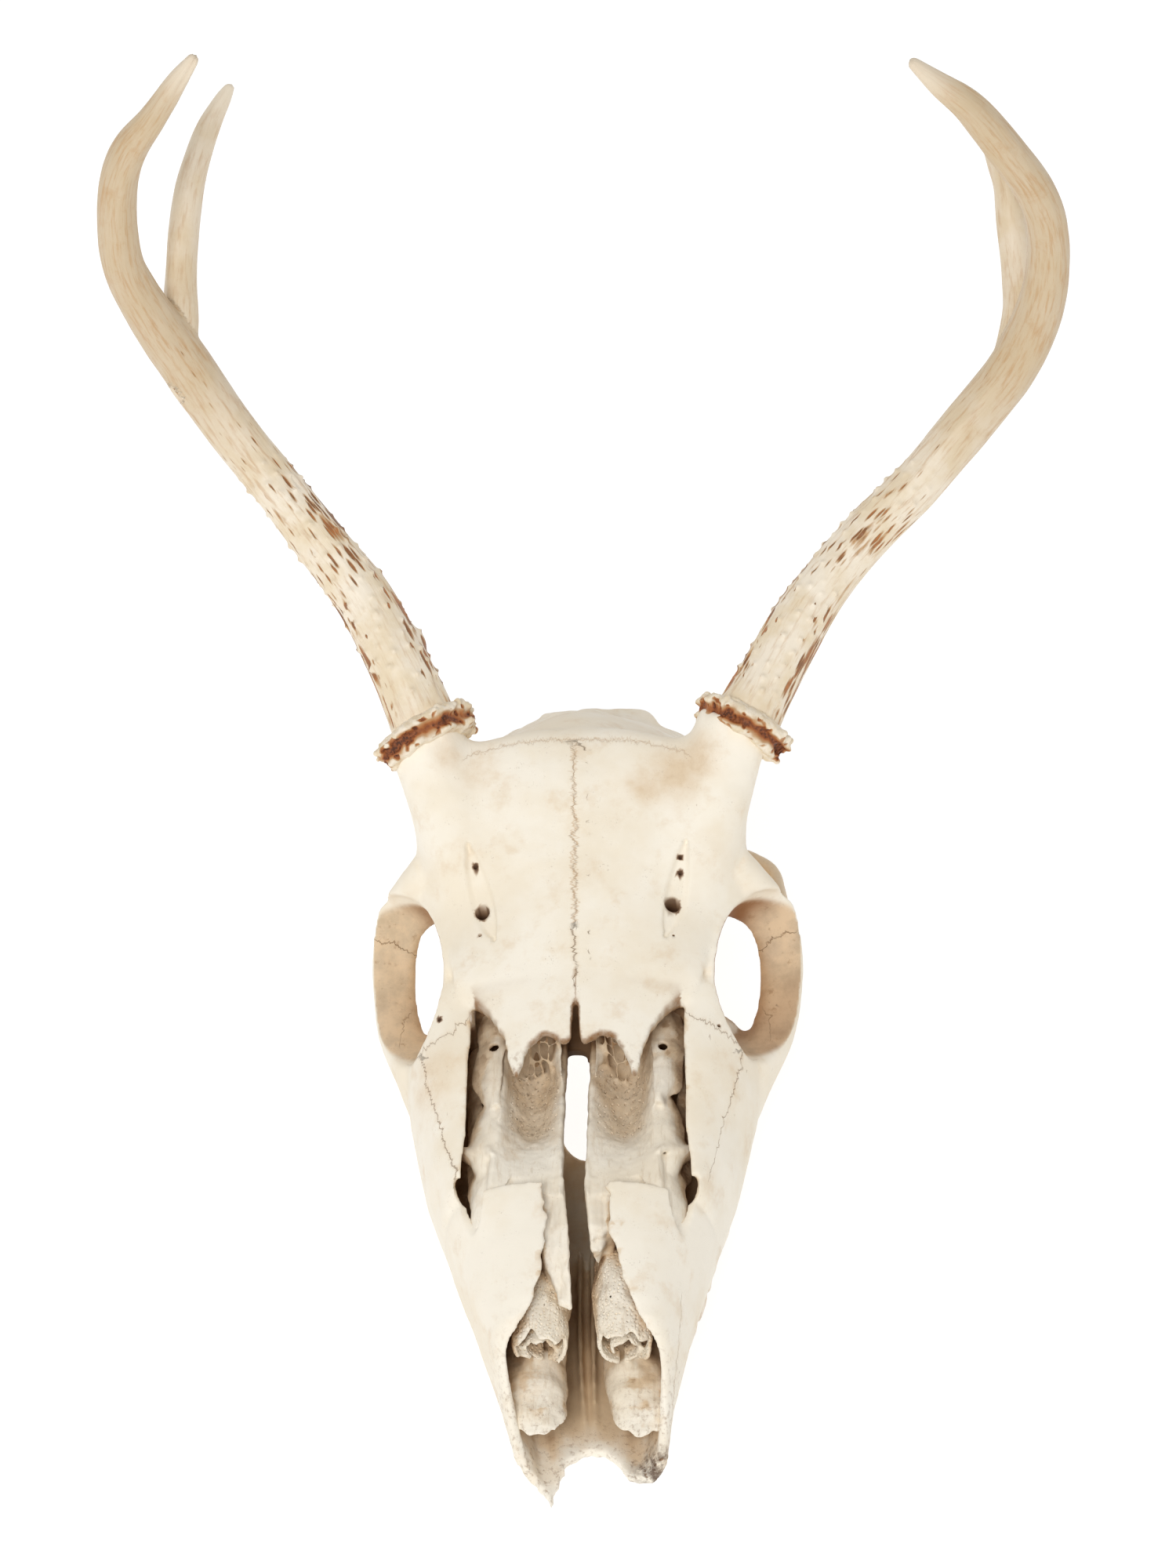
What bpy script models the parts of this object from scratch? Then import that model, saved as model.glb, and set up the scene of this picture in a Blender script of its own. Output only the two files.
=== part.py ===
"""A young buck's skull with forked antlers, lying on the floor as it would come to rest.

The shapes are made in the skull's own frame, in millimetres: x to the animal's left, y backward,
z up, the hard palate level at z = 0, and y = 0 under the front end of the frontal bones.
An empty then tips the skull back until it rests on its last molars and on the two bony prongs
beside the spine joint, and sets it on the floor with its middle over the origin.
"""
import math

import bmesh
import bpy
import numpy as np
from mathutils import Matrix, Vector

MM = 0.001                      # one millimetre, in the scene's metres
GAP = 0.3                       # space left between two pieces that meet
SIDES = {"left": 1, "right": -1}  # the animal's left is +x
SLOT = 3.8                      # half width of the gap between the scrolls, on the midline

# ---- driving sizes, mm ------------------------------------------------------------------------
BRAINCASE_HALF_WIDTH = 35
PLATE = 3.2                     # thickness of the thin bones of the face
TOOTH_ROW = (-47, 22)           # y of the first and last cheek tooth's ends
TOOTH_COUNT = 6
REST_FRONT = (22, -11.8)        # y, z where the last molar touches the floor
REST_BACK = (95, 0.0)           # y, z where the bony prongs touch the floor
VOXEL = 1.15                    # grain of the skin drawn over the joined shapes
FAR = 70                        # outside the skull on either side
SKULL_TRIANGLES = 3450          # the bone's share of the triangles

BONE = (0.82, 0.74, 0.58, 1)
WARM_BONE = (0.74, 0.60, 0.42, 1)
GREY_BONE = (0.66, 0.57, 0.44, 1)
ANTLER = (0.72, 0.60, 0.42, 1)
BURR_BROWN = (0.42, 0.22, 0.10, 1)
TINE_IVORY = (0.85, 0.78, 0.62, 1)

# ---- profiles of the bone, mm: each row is a place along the skull ----------------------------
# y, half width, z below, z where widest, z above
BRAINCASE = [(48, 21, 40, 60, 80), (60, 28, 33, 60, 91), (69, 32, 29, 60, 95.6),
             (78, 34.5, 26, 59, 93.8), (87, BRAINCASE_HALF_WIDTH, 25, 56, 88.4), (96, 34, 24, 52, 79.6),
             (104, 32, 24, 49, 71.8), (110.5, 28.5, 25, 47, 66.5), (114, 24, 28, 46, 61)]
# y, half width of the top, z of its outer edge, z on the midline, z of the underside
FRONTAL = [(-12, 24, 53, 58.5, 52), (0, 26.5, 56.5, 62, 55.5), (13, 28, 60.5, 67, 58),
           (18, 30.2, 63.4, 69, 58), (22, 31, 64.5, 71, 57), (32, 33, 64.5, 76.5, 56),
           (42, 37.5, 65, 82.3, 55), (50, 40.5, 68, 87, 57), (57, 41.3, 73.5, 91.4, 62),
           (63, 41, 80, 94.6, 68), (69, 38, 86, 96.6, 74), (74, 30, 84, 95.6, 74)]
# x, y of the broken front edge of the two frontal bones, midline outward
FRONTAL_EDGE = [(0, 9), (1.5, 9), (2.5, 3), (8, 4.5), (12, 0), (14.5, -7.5), (17, -2), (20, 6), (26, 13),
                (40, 15)]
# y, half width, z below, z above: the bone between the eye sockets
CORE = [(18, 26, 42, 59), (25, 25.5, 36, 62), (31, 18, 30, 67), (40, 18, 23, 74), (50, 22, 21, 80),
        (62, 28, 24, 86)]
# y, z, half width and half height of the ridge across the back of the case
CREST = [(105, 63, 19, 6), (109, 63.5, 19, 4.5), (112.5, 63, 16, 3)]
# centre and diameter along each of these
KNOB = [((9, 106, 31), 14), ((10, 113, 30.5), 16), ((9.5, 119, 30), 12)]
PRONG = [((25, 97, 30), 13), ((27.5, 98, 18), 10), ((27.5, 96.5, 8), 7.4), ((26.5, 95, -3), 5.4)]
CAPSULE = [((17, 88, 27), 15), ((17, 84, 20), 13), ((16, 82, 15), 8)]
CASE_FLOOR = [((0, 55, 30), 16), ((0, 80, 26), 18), ((0, 108, 27), 20)]
SPINAL_HOLE = [((0, 98, 40), 12), ((0, 125, 36), 15)]
# x, y, z below, z above: the plate that walls the throat end of the nose
THROAT_PLATE = [(11, 10, 0, 44), (11, 22, 2, 44), (11, 34, 4, 36), (10.5, 46, 8, 32), (10, 58, 14, 32)]
# centre and diameter along the bony stalk that carries an antler
PEDICLE = [((23, 45, 64), 24), ((29, 54.5, 75), 23.5), ((34.2, 64, 85.5), 20.8), ((39.4, 74.5, 96.8), 19.4)]
# y, half width, height of the widest place
SNOUT = [(-92, 15.5, 4), (-86, 17.5, 8), (-74, 20.4, 15), (-58, 25.4, 20), (-43, 30, 21), (-33, 33, 22),
         (-20, 37.5, 24), (-8, 40, 25), (4, 42.5, 28), (13, 44, 31), (20, 45, 34), (26, 36, 26)]
# y, x and z of the upper edge of the face plate
FACE_EDGE = [(-97, 14, 1.5), (-90, 15, 3), (-86, 16.5, 9), (-80, 17.6, 18), (-74, 18, 27.5), (-70, 17.5, 34),
             (-68, 15.5, 38), (-66, 13, 41), (-62, 11, 43.5), (-57, 8.7, 45.5), (-48, 6.6, 48.5),
             (-34.2, 6, 52), (-33.4, 24, 47), (-31, 28, 46.5), (-26, 29, 48), (-10, 27.5, 53), (0, 27, 56.5), (13, 27, 60),
             (20, 31, 63), (26, 31, 40)]
# centre and diameter along the narrow end of the gap between the face plate and the nose
SLIT = [((24.3, -29, 46), 10), ((25.2, -37, 45), 7), ((26.2, -44, 43), 3.4)]
# x, y of the broken front edge of the palate, midline outward
NOSE_EDGE = {"left": [(0, -77), (3, -78), (6, -80.5), (8, -84), (12, -85), (17, -84.5), (30, -84)],
             "right": [(0, -77), (3, -78), (6, -80.5), (8.5, -86), (10.3, -93.1), (11.6, -89), (13.5, -86),
                       (17, -84), (30, -84)]}
SNOUT_BEND = 0.00055            # sideways shift of the snout, times the square of the distance forward
# y, inner and outer x, z below and above: the bone that the roots of the cheek teeth fill
TOOTH_ROOTS = [(-52, 10, 19, 0, 6), (-38, 12.5, 25, 0, 11), (-20, 17, 32, 0, 17), (-5, 19, 36, 0, 26),
               (10, 19, 38, 0, 38), (20, 18.5, 38, 0, 45), (26, 19.5, 33, 3, 42), (29, 22, 29, 10, 34)]
# y, x of the outer edge of the gum
GUM = [(-97, 13), (-86, 14), (-74, 15.5), (-58, 19), (-46, 22), (-30, 27.5), (-12, 32), (4, 34), (22, 32),
       (26, 29)]
# the eye socket: its middle, half its length, its height above and below that, and the way it faces
ORBIT_MIDDLE = (45.5, 31, 51)
ORBIT_ALONG = (6, 21, 2.5)
ORBIT_TOP = (-10, 3, 13.5)
ORBIT_LOW = (-5.5, 2.5, 14)
ORBIT_OUT = (0.84, -0.29, 0.456)
ORBIT_WALL = 3.6
ORBIT_DEPTH = 11
# centre line of the cheek arch behind the eye, and its half thickness and half height
ARCH = [((50.5, 44, 40), 2.6, 5.5), ((50.5, 54, 37), 2.3, 4.5), ((49, 63, 36), 2.2, 4.2),
        ((46.5, 70, 36), 2.4, 4.4), ((42.5, 76, 37), 3.2, 5), ((36, 80, 39), 4.5, 6), ((27, 83, 41), 5, 7)]

# centre, half thickness and half height along the cheek bar under the eye
CHEEK = [((39.5, 6, 29), 3, 8), ((43.5, 16, 33), 3.4, 8), ((48.5, 28, 35), 3.2, 7), ((50.3, 40, 38), 3, 6),
         ((50.8, 48, 41), 2.6, 5)]
# y, half width and half height of the swelling over the last molars, whose middle is at this x and z
SWELLING = [(4, 3, 8), (9, 8, 15), (16, 10, 18), (23, 9, 15), (28, 5.5, 10), (30, 2, 4)]
SWELLING_MIDDLE = (34.5, 31)
# half breadths and middle of the rounded notch behind the palate
NOTCH = (8.5, 9.5)
NOTCH_Y = 26

# ---- inside the nose, mm ----------------------------------------------------------------------
# y, z below, z of the dish and z of the rim of the shelf
SHELF = [(16.5, 40, 47, 51), (8, 36, 42, 47), (-6, 35, 41, 46.5), (-18, 36, 43.5, 47.5), (-26, 37, 46.5, 48),
         (-35, 38, 47.5, 48.5)]
# y, z below, z above and outer x of the strip in front of the shelf
STRIP = [(-30, 33, 47, 8), (-44, 33, 45, 7.6), (-58, 32, 41.5, 7), (-70, 31, 37, 6), (-75, 31, 33.5, 5)]
# y, z, half width and half height of the roll and of the plate under it
ROLL_X = 11.3
ROLL = [(-24, 24, 6, 8), (-40, 25, 6.8, 8.5), (-52, 26.5, 6.8, 7), (-60, 27, 6.3, 5.5), (-64, 27, 4.5, 3.5)]
LOW_PLATE_X = 12
LOW_PLATE = [(-24, 13, 6, 5), (-56, 14, 6.8, 5), (-68, 14, 6.6, 3.6), (-74, 12.5, 5.4, 2.2),
             (-76.5, 11.5, 3, 1.2)]

# ---- antlers, mm: centre line and diameter, from the burr outward -----------------------------
BURR = {"left": ((40.3, 73.0, 94.7), (0.52, 0.69, 0.52)), "right": ((-36.4, 71.8, 94.7), (-0.52, 0.69, 0.52))}
BURR_RADIUS = 13.3
BURR_HEIGHT = 5.4
BEAM = {
    "left": [((42, 75, 96.6), 16.8), ((46, 81.6, 100.8), 15.4), ((54.4, 94.8, 109), 14.4),
             ((62, 104, 115), 13.4), ((72, 113, 122), 12.8), ((83, 121, 129), 12.8), ((96, 131, 140), 12.6),
             ((107, 137, 152), 12.6)],
    "right": [((-37.8, 74.2, 97), 16.8), ((-42.2, 82.3, 105.2), 15.8), ((-49.6, 93.8, 114.8), 14.8),
              ((-56, 101, 121.5), 13.8),
              ((-70, 114, 135), 12.8), ((-84, 125, 150), 12.8), ((-96, 134, 167), 13)],
}
BRANCH = {
    "left": [((107, 137, 152), 12.6), ((113, 140, 165), 12.4), ((116, 141, 179), 11.6), ((116, 142, 193), 11),
             ((113, 142, 204), 10), ((108, 142, 213), 9.6), ((102, 143, 222), 9), ((97, 143, 229), 7.8),
             ((91, 144, 234), 6.2), ((85, 145, 240), 3.6)],
    "right": [((-96, 134, 167), 13), ((-102, 136, 179), 11.8), ((-106, 136, 192), 11.4),
              ((-106, 136, 205), 10.8), ((-104, 137, 218), 9.8), ((-100, 138, 227), 9),
              ((-94, 138, 235), 7.4), ((-88, 140, 243), 5.8),
              ((-83, 141, 250), 3.4)],
}
TINE = {
    "left": [((107, 139, 152), 8), ((110, 149, 161), 8.6), ((109, 158, 168), 8.2), ((108, 165, 175), 7.8),
             ((107, 171, 182), 7), ((105, 175, 187), 6.2), ((103, 179, 192), 4.8), ((102, 181.4, 196.4), 3)],
    "right": [((-97, 131, 164), 8), ((-95, 140, 172), 8.6), ((-95, 148, 178), 8.6), ((-94, 158, 187), 8.3),
              ((-92, 166, 195), 7.6), ((-88, 173, 204), 6), ((-84, 177, 210), 4.4), ((-82, 179, 213), 3)],
}


# ---- helpers ----------------------------------------------------------------------------------
def read(rows, y, column=1):
    """The value in one column of a profile, at a place y between its rows."""
    return float(np.interp(y, [row[0] for row in rows], [row[column] for row in rows]))


def put(name, mesh, collection):
    """An object of that name and mesh, in the collection."""
    mesh.name = name
    made = bpy.data.objects.new(name, mesh)
    collection.objects.link(made)
    return made


def meshed(thing):
    """The mesh that an object's curve or modifiers make."""
    bpy.context.view_layer.update()
    return bpy.data.meshes.new_from_object(thing.evaluated_get(bpy.context.evaluated_depsgraph_get()))


def loft(name, rings, collection):
    """A closed skin over rings of points in mm, with an end cap on the first and the last."""
    bm = bmesh.new()
    loops = [[bm.verts.new(Vector([float(v) * MM for v in point])) for point in ring] for ring in rings]
    count = len(loops[0])
    for near, far in zip(loops, loops[1:]):
        for i in range(count):
            after = (i + 1) % count
            bm.faces.new((near[i], near[after], far[after], far[i]))
    bm.faces.new(loops[0])
    bm.faces.new(loops[-1])
    bmesh.ops.triangulate(bm, faces=[face for face in bm.faces if len(face.verts) > 4])
    bmesh.ops.recalc_face_normals(bm, faces=bm.faces)
    mesh = bpy.data.meshes.new(name)
    bm.to_mesh(mesh)
    bm.free()
    return put(name, mesh, collection)


def box(name, low, high, collection):
    """A box between two corners in mm."""
    low, high = Vector(low) * MM, Vector(high) * MM
    bm = bmesh.new()
    place = Matrix.Translation((low + high) / 2) @ Matrix.Diagonal((*(high - low), 1))
    bmesh.ops.create_cube(bm, size=1, matrix=place)
    mesh = bpy.data.meshes.new(name)
    bm.to_mesh(mesh)
    bm.free()
    return put(name, mesh, collection)


def oval(middle, right, up, sides, power=2.0):
    """A closed ring round a middle, with the two half axes given as vectors."""
    middle, right, up = (np.array(v, float) for v in (middle, right, up))
    ring = []
    for i in range(sides):
        a = 2 * math.pi * i / sides
        c, s = math.cos(a), math.sin(a)
        ring.append(middle + right * math.copysign(abs(c) ** (2 / power), c)
                    + up * math.copysign(abs(s) ** (2 / power), s))
    return ring


def smooth_path(points, steps):
    """Points on a smooth curve through the given rows of numbers, a few to each span."""
    rows = np.array(points, float)
    ends = np.vstack([2 * rows[0] - rows[1], rows, 2 * rows[-1] - rows[-2]])
    path = []
    for i in range(1, len(ends) - 2):
        a, b, c, d = ends[i - 1:i + 3]
        for t in np.arange(steps) / steps:
            path.append(0.5 * (2 * b + (c - a) * t + (2 * a - 5 * b + 4 * c - d) * t ** 2
                               + (3 * b - a - 3 * c + d) * t ** 3))
    return np.array(path + [rows[-1]])


def tube(name, points, sides, steps, collection, round_tip=False):
    """A bevelled curve through (centre, diameter) rows, rounded off where it ends in a tip."""
    rows = smooth_path([(*centre, diameter / 2) for centre, diameter in points], steps)
    path = list(rows[:, :3])
    radii = list(rows[:, 3])
    if round_tip:
        ahead = path[-1] - path[-2]
        ahead /= np.linalg.norm(ahead)
        last, end = radii[-1], path[-1]
        for a in (0.5, 0.85):
            path.append(end + ahead * last * math.sin(a * math.pi / 2))
            radii.append(last * math.cos(a * math.pi / 2))
    curve = bpy.data.curves.new(name, "CURVE")
    curve.dimensions = "3D"
    curve.bevel_depth = MM
    curve.bevel_resolution = sides // 2 - 2
    curve.use_fill_caps = True
    line = curve.splines.new("POLY")
    line.points.add(len(path) - 1)
    for point, centre, radius in zip(line.points, path, radii):
        point.co = (*(centre * MM), 1)
        point.radius = radius
    drawn = bpy.data.objects.new(name, curve)
    collection.objects.link(drawn)
    mesh = meshed(drawn)
    bpy.data.objects.remove(drawn)
    bm = bmesh.new()
    bm.from_mesh(mesh)
    bmesh.ops.remove_doubles(bm, verts=bm.verts, dist=MM * 0.01)
    bmesh.ops.recalc_face_normals(bm, faces=bm.faces)
    bm.to_mesh(mesh)
    bm.free()
    return put(name, mesh, collection)


def mirrored(thing, collection):
    """A copy of an object on the other side of the skull's midline."""
    bm = bmesh.new()
    bm.from_mesh(thing.data)
    bmesh.ops.scale(bm, vec=(-1, 1, 1), verts=bm.verts)
    bmesh.ops.reverse_faces(bm, faces=bm.faces)
    mesh = bpy.data.meshes.new(thing.name + "_mirror")
    bm.to_mesh(mesh)
    bm.free()
    return put(thing.name + "_mirror", mesh, collection)


def bake(thing):
    """Replace an object's mesh by what its modifiers make of it."""
    done = meshed(thing)
    thing.modifiers.clear()
    thing.data = done
    return thing


def combine(thing, other, operation):
    """Cut, keep or join an object with another, which stays as it is."""
    step = thing.modifiers.new(operation.lower(), "BOOLEAN")
    step.operation = operation
    step.solver = "EXACT"
    step.use_self = True
    step.object = other
    return bake(thing)


def grown(thing, by, collection):
    """A copy of an object pushed out along its normals, to cut a neighbour with."""
    copy = put(thing.name + "_grown", thing.data.copy(), collection)
    bm = bmesh.new()
    bm.from_mesh(copy.data)
    bm.normal_update()
    shift = {vert.index: vert.normal * vert.calc_shell_factor() * by * MM for vert in bm.verts}
    for vert in bm.verts:
        vert.co += shift[vert.index]
    bm.to_mesh(copy.data)
    bm.free()
    return copy


def largest_body(thing):
    """Drop the crumbs that a cut leaves, and keep the largest piece."""
    bm = bmesh.new()
    bm.from_mesh(thing.data)
    bm.verts.ensure_lookup_table()
    seen, bodies = set(), []
    for start in bm.verts:
        if start in seen:
            continue
        body, front = {start}, [start]
        while front:
            for edge in front.pop().link_edges:
                for vert in edge.verts:
                    if vert not in body:
                        body.add(vert)
                        front.append(vert)
        seen |= body
        bodies.append(body)
    keep = max(bodies, key=len)
    bmesh.ops.delete(bm, geom=[vert for vert in bm.verts if vert not in keep], context="VERTS")
    bm.to_mesh(thing.data)
    bm.free()
    return thing


def paint(thing, colour, roughness=0.6):
    """Give an object its own plain material."""
    material = bpy.data.materials.new(thing.name)
    material.use_nodes = True
    shader = material.node_tree.nodes["Principled BSDF"]
    shader.inputs["Base Color"].default_value = colour
    shader.inputs["Roughness"].default_value = roughness
    shader.inputs["Metallic"].default_value = 0.0
    material.diffuse_color = colour
    thing.data.materials.clear()
    thing.data.materials.append(material)
    return thing


# ---- shapes that are joined into the bone -----------------------------------------------------
def braincase_shapes(group):
    """The rounded case, the joint knobs, the hearing capsules and the prongs beside them."""
    rings = []
    for y, half, low, wide, high in BRAINCASE:
        ring = []
        for i in range(28):
            a = 2 * math.pi * i / 28
            reach = (high - wide) if math.sin(a) > 0 else (wide - low)
            ring.append((half * math.cos(a), y, wide + reach * math.sin(a)))
        rings.append(ring)
    made = [loft("case", rings, group)]
    made.append(loft("crest", [oval((0, y, z), (w, 0, 0), (0, -1.2, h), 12) for y, z, w, h in CREST], group))
    knob = tube("knob", KNOB, 12, 2, group, True)
    prong = tube("prong", PRONG, 12, 2, group)
    capsule = tube("capsule", CAPSULE, 12, 2, group, True)
    for shape in (knob, prong, capsule):
        made += [shape, mirrored(shape, group)]
    made.append(tube("case_floor", CASE_FLOOR, 12, 2, group))
    spinal_hole = tube("spinal_hole", SPINAL_HOLE, 14, 2, group)
    combine(made[0], spinal_hole, "DIFFERENCE")
    bpy.data.objects.remove(spinal_hole)
    return made


def frontal_shape(group):
    """The roof between the sockets, with its broken front edge."""
    rings = []
    for y, half, edge, middle, under in FRONTAL:
        top = []
        flatness = float(np.interp(y, (38, 57), (2.2, 4.0)))
        for i in range(17):
            across = -1 + 2 * i / 16
            top.append((half * across, y, edge + (middle - edge) * (1 - abs(across) ** flatness)))
        low_half = half - 5
        bottom = [(low_half * across, y, under) for across in (1, 0.5, 0, -0.5, -1)]
        rings.append(top + bottom)
    made = loft("frontal", rings, group)
    outline = [(x, y) for x, y in FRONTAL_EDGE] + [(40, -40), (0, -40)]
    for side in (1, -1):
        rings = [[(x * side, y, z) for x, y in outline] for z in (30, 90)]
        cutter = loft("front_cut", rings, group)
        combine(made, cutter, "DIFFERENCE")
        bpy.data.objects.remove(cutter)
    return made


def core_shapes(group):
    """The bone between the sockets and the two plates that wall the throat end of the nose."""
    rings = [oval((0, y, (low + high) / 2), (half, 0, 0), (0, 0, (high - low) / 2), 20, 2.6)
             for y, half, low, high in CORE]
    made = [loft("core", rings, group)]
    plate = loft("throat_plate", [oval((x, y, (low + high) / 2), (1.8, 0, 0), (0, 0, (high - low) / 2), 12, 3)
                                  for x, y, low, high in THROAT_PLATE], group)
    made += [plate, mirrored(plate, group)]
    return made


def orbit_ring(inset, depth, sides=36):
    """A ring of the eye socket, drawn in from its rim by an inset and pushed inward by a depth."""
    middle = np.array(ORBIT_MIDDLE) - np.array(ORBIT_OUT) * depth
    ring = []
    for i in range(sides):
        a = 2 * math.pi * i / sides
        along, up = np.array(ORBIT_ALONG), np.array(ORBIT_TOP if math.sin(a) > 0 else ORBIT_LOW)
        reach = [axis * (1 - inset / np.linalg.norm(axis)) for axis in (along, up)]
        ring.append(middle + reach[0] * math.cos(a) + reach[1] * math.sin(a))
    return ring


def socket_shapes(group):
    """The raised ring round an eye socket, and the arch that runs back from it to the case."""
    rim, wall, depth = ORBIT_WALL * 0.5, ORBIT_WALL, ORBIT_DEPTH
    profile = [(0, 0), (-rim, 1.2), (-wall, 4.5), (-wall, depth - 2), (-rim, depth), (0.6, depth - 1),
               (1.2, 5)]
    rings = [orbit_ring(inset + 1.5, deep) for inset, deep in profile]
    bm = bmesh.new()
    loops = [[bm.verts.new(Vector([float(v) * MM for v in point])) for point in ring] for ring in rings]
    for near, far in zip(loops, loops[1:] + loops[:1]):
        for i in range(len(near)):
            after = (i + 1) % len(near)
            bm.faces.new((near[i], near[after], far[after], far[i]))
    bmesh.ops.recalc_face_normals(bm, faces=bm.faces)
    mesh = bpy.data.meshes.new("socket")
    bm.to_mesh(mesh)
    bm.free()
    ring = put("socket", mesh, group)
    arch = loft("arch", [oval(centre, (thick, 0.3 * thick, 0), (0, 0, tall), 12)
                         for centre, thick, tall in ARCH], group)
    cheek = loft("cheek", [oval(centre, (thick, 0, 0), (0, 0, tall), 12)
                           for centre, thick, tall in CHEEK], group)
    x, z = SWELLING_MIDDLE
    swelling = loft("swelling", [oval((x, y, z), (w, 0, 0), (0, 0, h), 16) for y, w, h in SWELLING], group)
    return [ring, arch, cheek, swelling]


def nose_cutters(group):
    """What is missing in front of the broken edge of the palate, on each side."""
    cutters = []
    for side, sign in SIDES.items():
        outline = NOSE_EDGE[side] + [(30, -120), (0, -120)]
        cutters.append(loft("nose_cut", [[(x * sign, y, z) for x, y in outline] for z in (-20, 60)], group))
    return cutters


def face_section(y):
    """The cross-section of one side of the snout: down the face plate and in along the palate."""
    top = np.array((read(FACE_EDGE, y, 1), read(FACE_EDGE, y, 2)))
    wide = np.array((read(SNOUT, y, 1), read(SNOUT, y, 2)))
    gum = np.array((read(GUM, y, 1), 1.0))
    wide[1] = min(wide[1], (top[1] + gum[1]) / 2 + 1) if top[1] < wide[1] + 4 else wide[1]
    flat = 0.75 if y < -33.8 else 0.95
    line = []
    for t in np.linspace(0, 1, 8):
        a = t * math.pi / 2
        line.append((top[0] + (wide[0] - top[0]) * math.sin(a) ** flat,
                     wide[1] + (top[1] - wide[1]) * math.cos(a) ** flat))
    for t in (0.35, 0.7, 1):
        line.append(tuple(wide + (gum - wide) * t))
    line += [(gum[0] - 5, 0.6), (gum[0] * 0.5, 1.6), (GAP / 2, 1.2)]
    return np.array(line)


def thick_line(line, thickness):
    """A closed outline of even thickness on the inner side of an open line."""
    ahead = np.gradient(line, axis=0)
    ahead /= np.linalg.norm(ahead, axis=1)[:, None]
    inward = np.column_stack((ahead[:, 1], -ahead[:, 0]))
    inner = line + inward * thickness
    return np.vstack((line, inner[::-1]))


def face_shapes(group):
    """One side of the snout with its palate and cheek teeth, on the left."""
    ys = [-93.4, -90, -87, -84, -80, -76, -72, -70, -68, -66, -63, -60, -55, -50, -44, -38, -34.2, -33.4,
          -31, -24, -16, -8, 0, 7, 13, 19, 25]
    rings = []
    for y in ys:
        outline = thick_line(face_section(y), PLATE)
        rings.append([(max(x, GAP / 2), y, z) for x, z in outline])
    roots = []
    for y, near, far, low, high in TOOTH_ROOTS:
        roots.append(oval(((near + far) / 2, y, (low + high) / 2), ((far - near) / 2, 0, 0),
                          (0, 0, (high - low) / 2), 16, 3.5))
    roots = loft("roots", roots, group)
    return [loft("face", rings, group), roots] + tooth_shapes(group)


def tooth_shapes(group):
    """Six cheek teeth, wider and longer towards the back, each with a waist between its lobes."""
    made = []
    start, end = TOOTH_ROW
    lengths = np.array([9.5, 10, 10, 13, 14.5, 15])
    lengths = lengths * (end - start) / lengths.sum()
    edges = start + np.concatenate(([0], np.cumsum(lengths)))
    floor_slope = (REST_BACK[1] - REST_FRONT[1]) / (REST_BACK[0] - REST_FRONT[0])
    for i in range(TOOTH_COUNT):
        low_y, high_y = edges[i], edges[i + 1]
        width = 9 + 0.8 * i
        reach = -9.5 - 0.9 * i
        rings = []
        for t, pinch in ((0.02, 0.8), (0.25, 1), (0.5, 0.86), (0.75, 1), (0.98, 0.8)):
            y = low_y + (high_y - low_y) * t
            outer = read(GUM, y, 1) - 0.3
            x = outer - width / 2
            bottom = max(reach, REST_FRONT[1] + floor_slope * (y - REST_FRONT[0]) - 0.9)
            half = width / 2 * pinch
            rings.append([(x - half, y, 6), (x + half, y, 6), (x + half, y, bottom + 1.5),
                          (x + half * 0.8, y, bottom), (x, y, bottom + 1.1),
                          (x - half * 0.75, y, bottom + 0.2), (x - half, y, bottom + 2)])
        made.append(loft("tooth", rings, group))
    return made


def joined(name, shapes, collection):
    """One object holding the meshes of several, which are removed."""
    bm = bmesh.new()
    for shape in shapes:
        bm.from_mesh(shape.data)
    mesh = bpy.data.meshes.new(name)
    bm.to_mesh(mesh)
    bm.free()
    for shape in shapes:
        bpy.data.objects.remove(shape)
    return put(name, mesh, collection)


def skinned(thing, grain):
    """Draw one even skin over an object's overlapping shapes."""
    remesh = thing.modifiers.new("skin", "REMESH")
    remesh.mode = "VOXEL"
    remesh.voxel_size = grain * MM
    return bake(thing)


def both_sides(shapes, group):
    """The given shapes and their mirror images."""
    return shapes + [mirrored(shape, group) for shape in shapes]


def bone_skin(group):
    """One skin over all the shapes of the bone, smoothed and thinned to the wanted triangles."""
    plates = joined("plates", [frontal_shape(group)] + both_sides(face_shapes(group), group), group)
    skinned(plates, VOXEL)
    orbit = loft("orbit_opening", [orbit_ring(2.4, deep) for deep in (-16, 0, 12, 26)], group)
    slit = tube("slit", SLIT, 12, 3, group, True)
    wide, long = NOTCH
    notch = loft("notch", [oval((0, NOTCH_Y, z), (wide, 0, 0), (0, long, 0), 20) for z in (-20, 20)], group)
    for cutter in both_sides([orbit, slit], group) + nose_cutters(group) + [notch]:
        combine(plates, cutter, "DIFFERENCE")
        bpy.data.objects.remove(cutter)
    stalk = tube("stalk", PEDICLE, 20, 3, group)
    shapes = [plates] + braincase_shapes(group) + core_shapes(group)
    shapes += both_sides([stalk] + socket_shapes(group), group)
    bone = skinned(joined("bone", shapes, group), VOXEL)
    soften = bone.modifiers.new("soften", "SMOOTH")
    soften.factor = 0.5
    soften.iterations = 4
    bake(bone)
    largest_body(bone)
    count = sum(len(face.vertices) - 2 for face in bone.data.polygons)
    thin = bone.modifiers.new("thin", "DECIMATE")
    thin.ratio = SKULL_TRIANGLES / count
    thin.use_collapse_triangulate = True
    return bake(bone)


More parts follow.
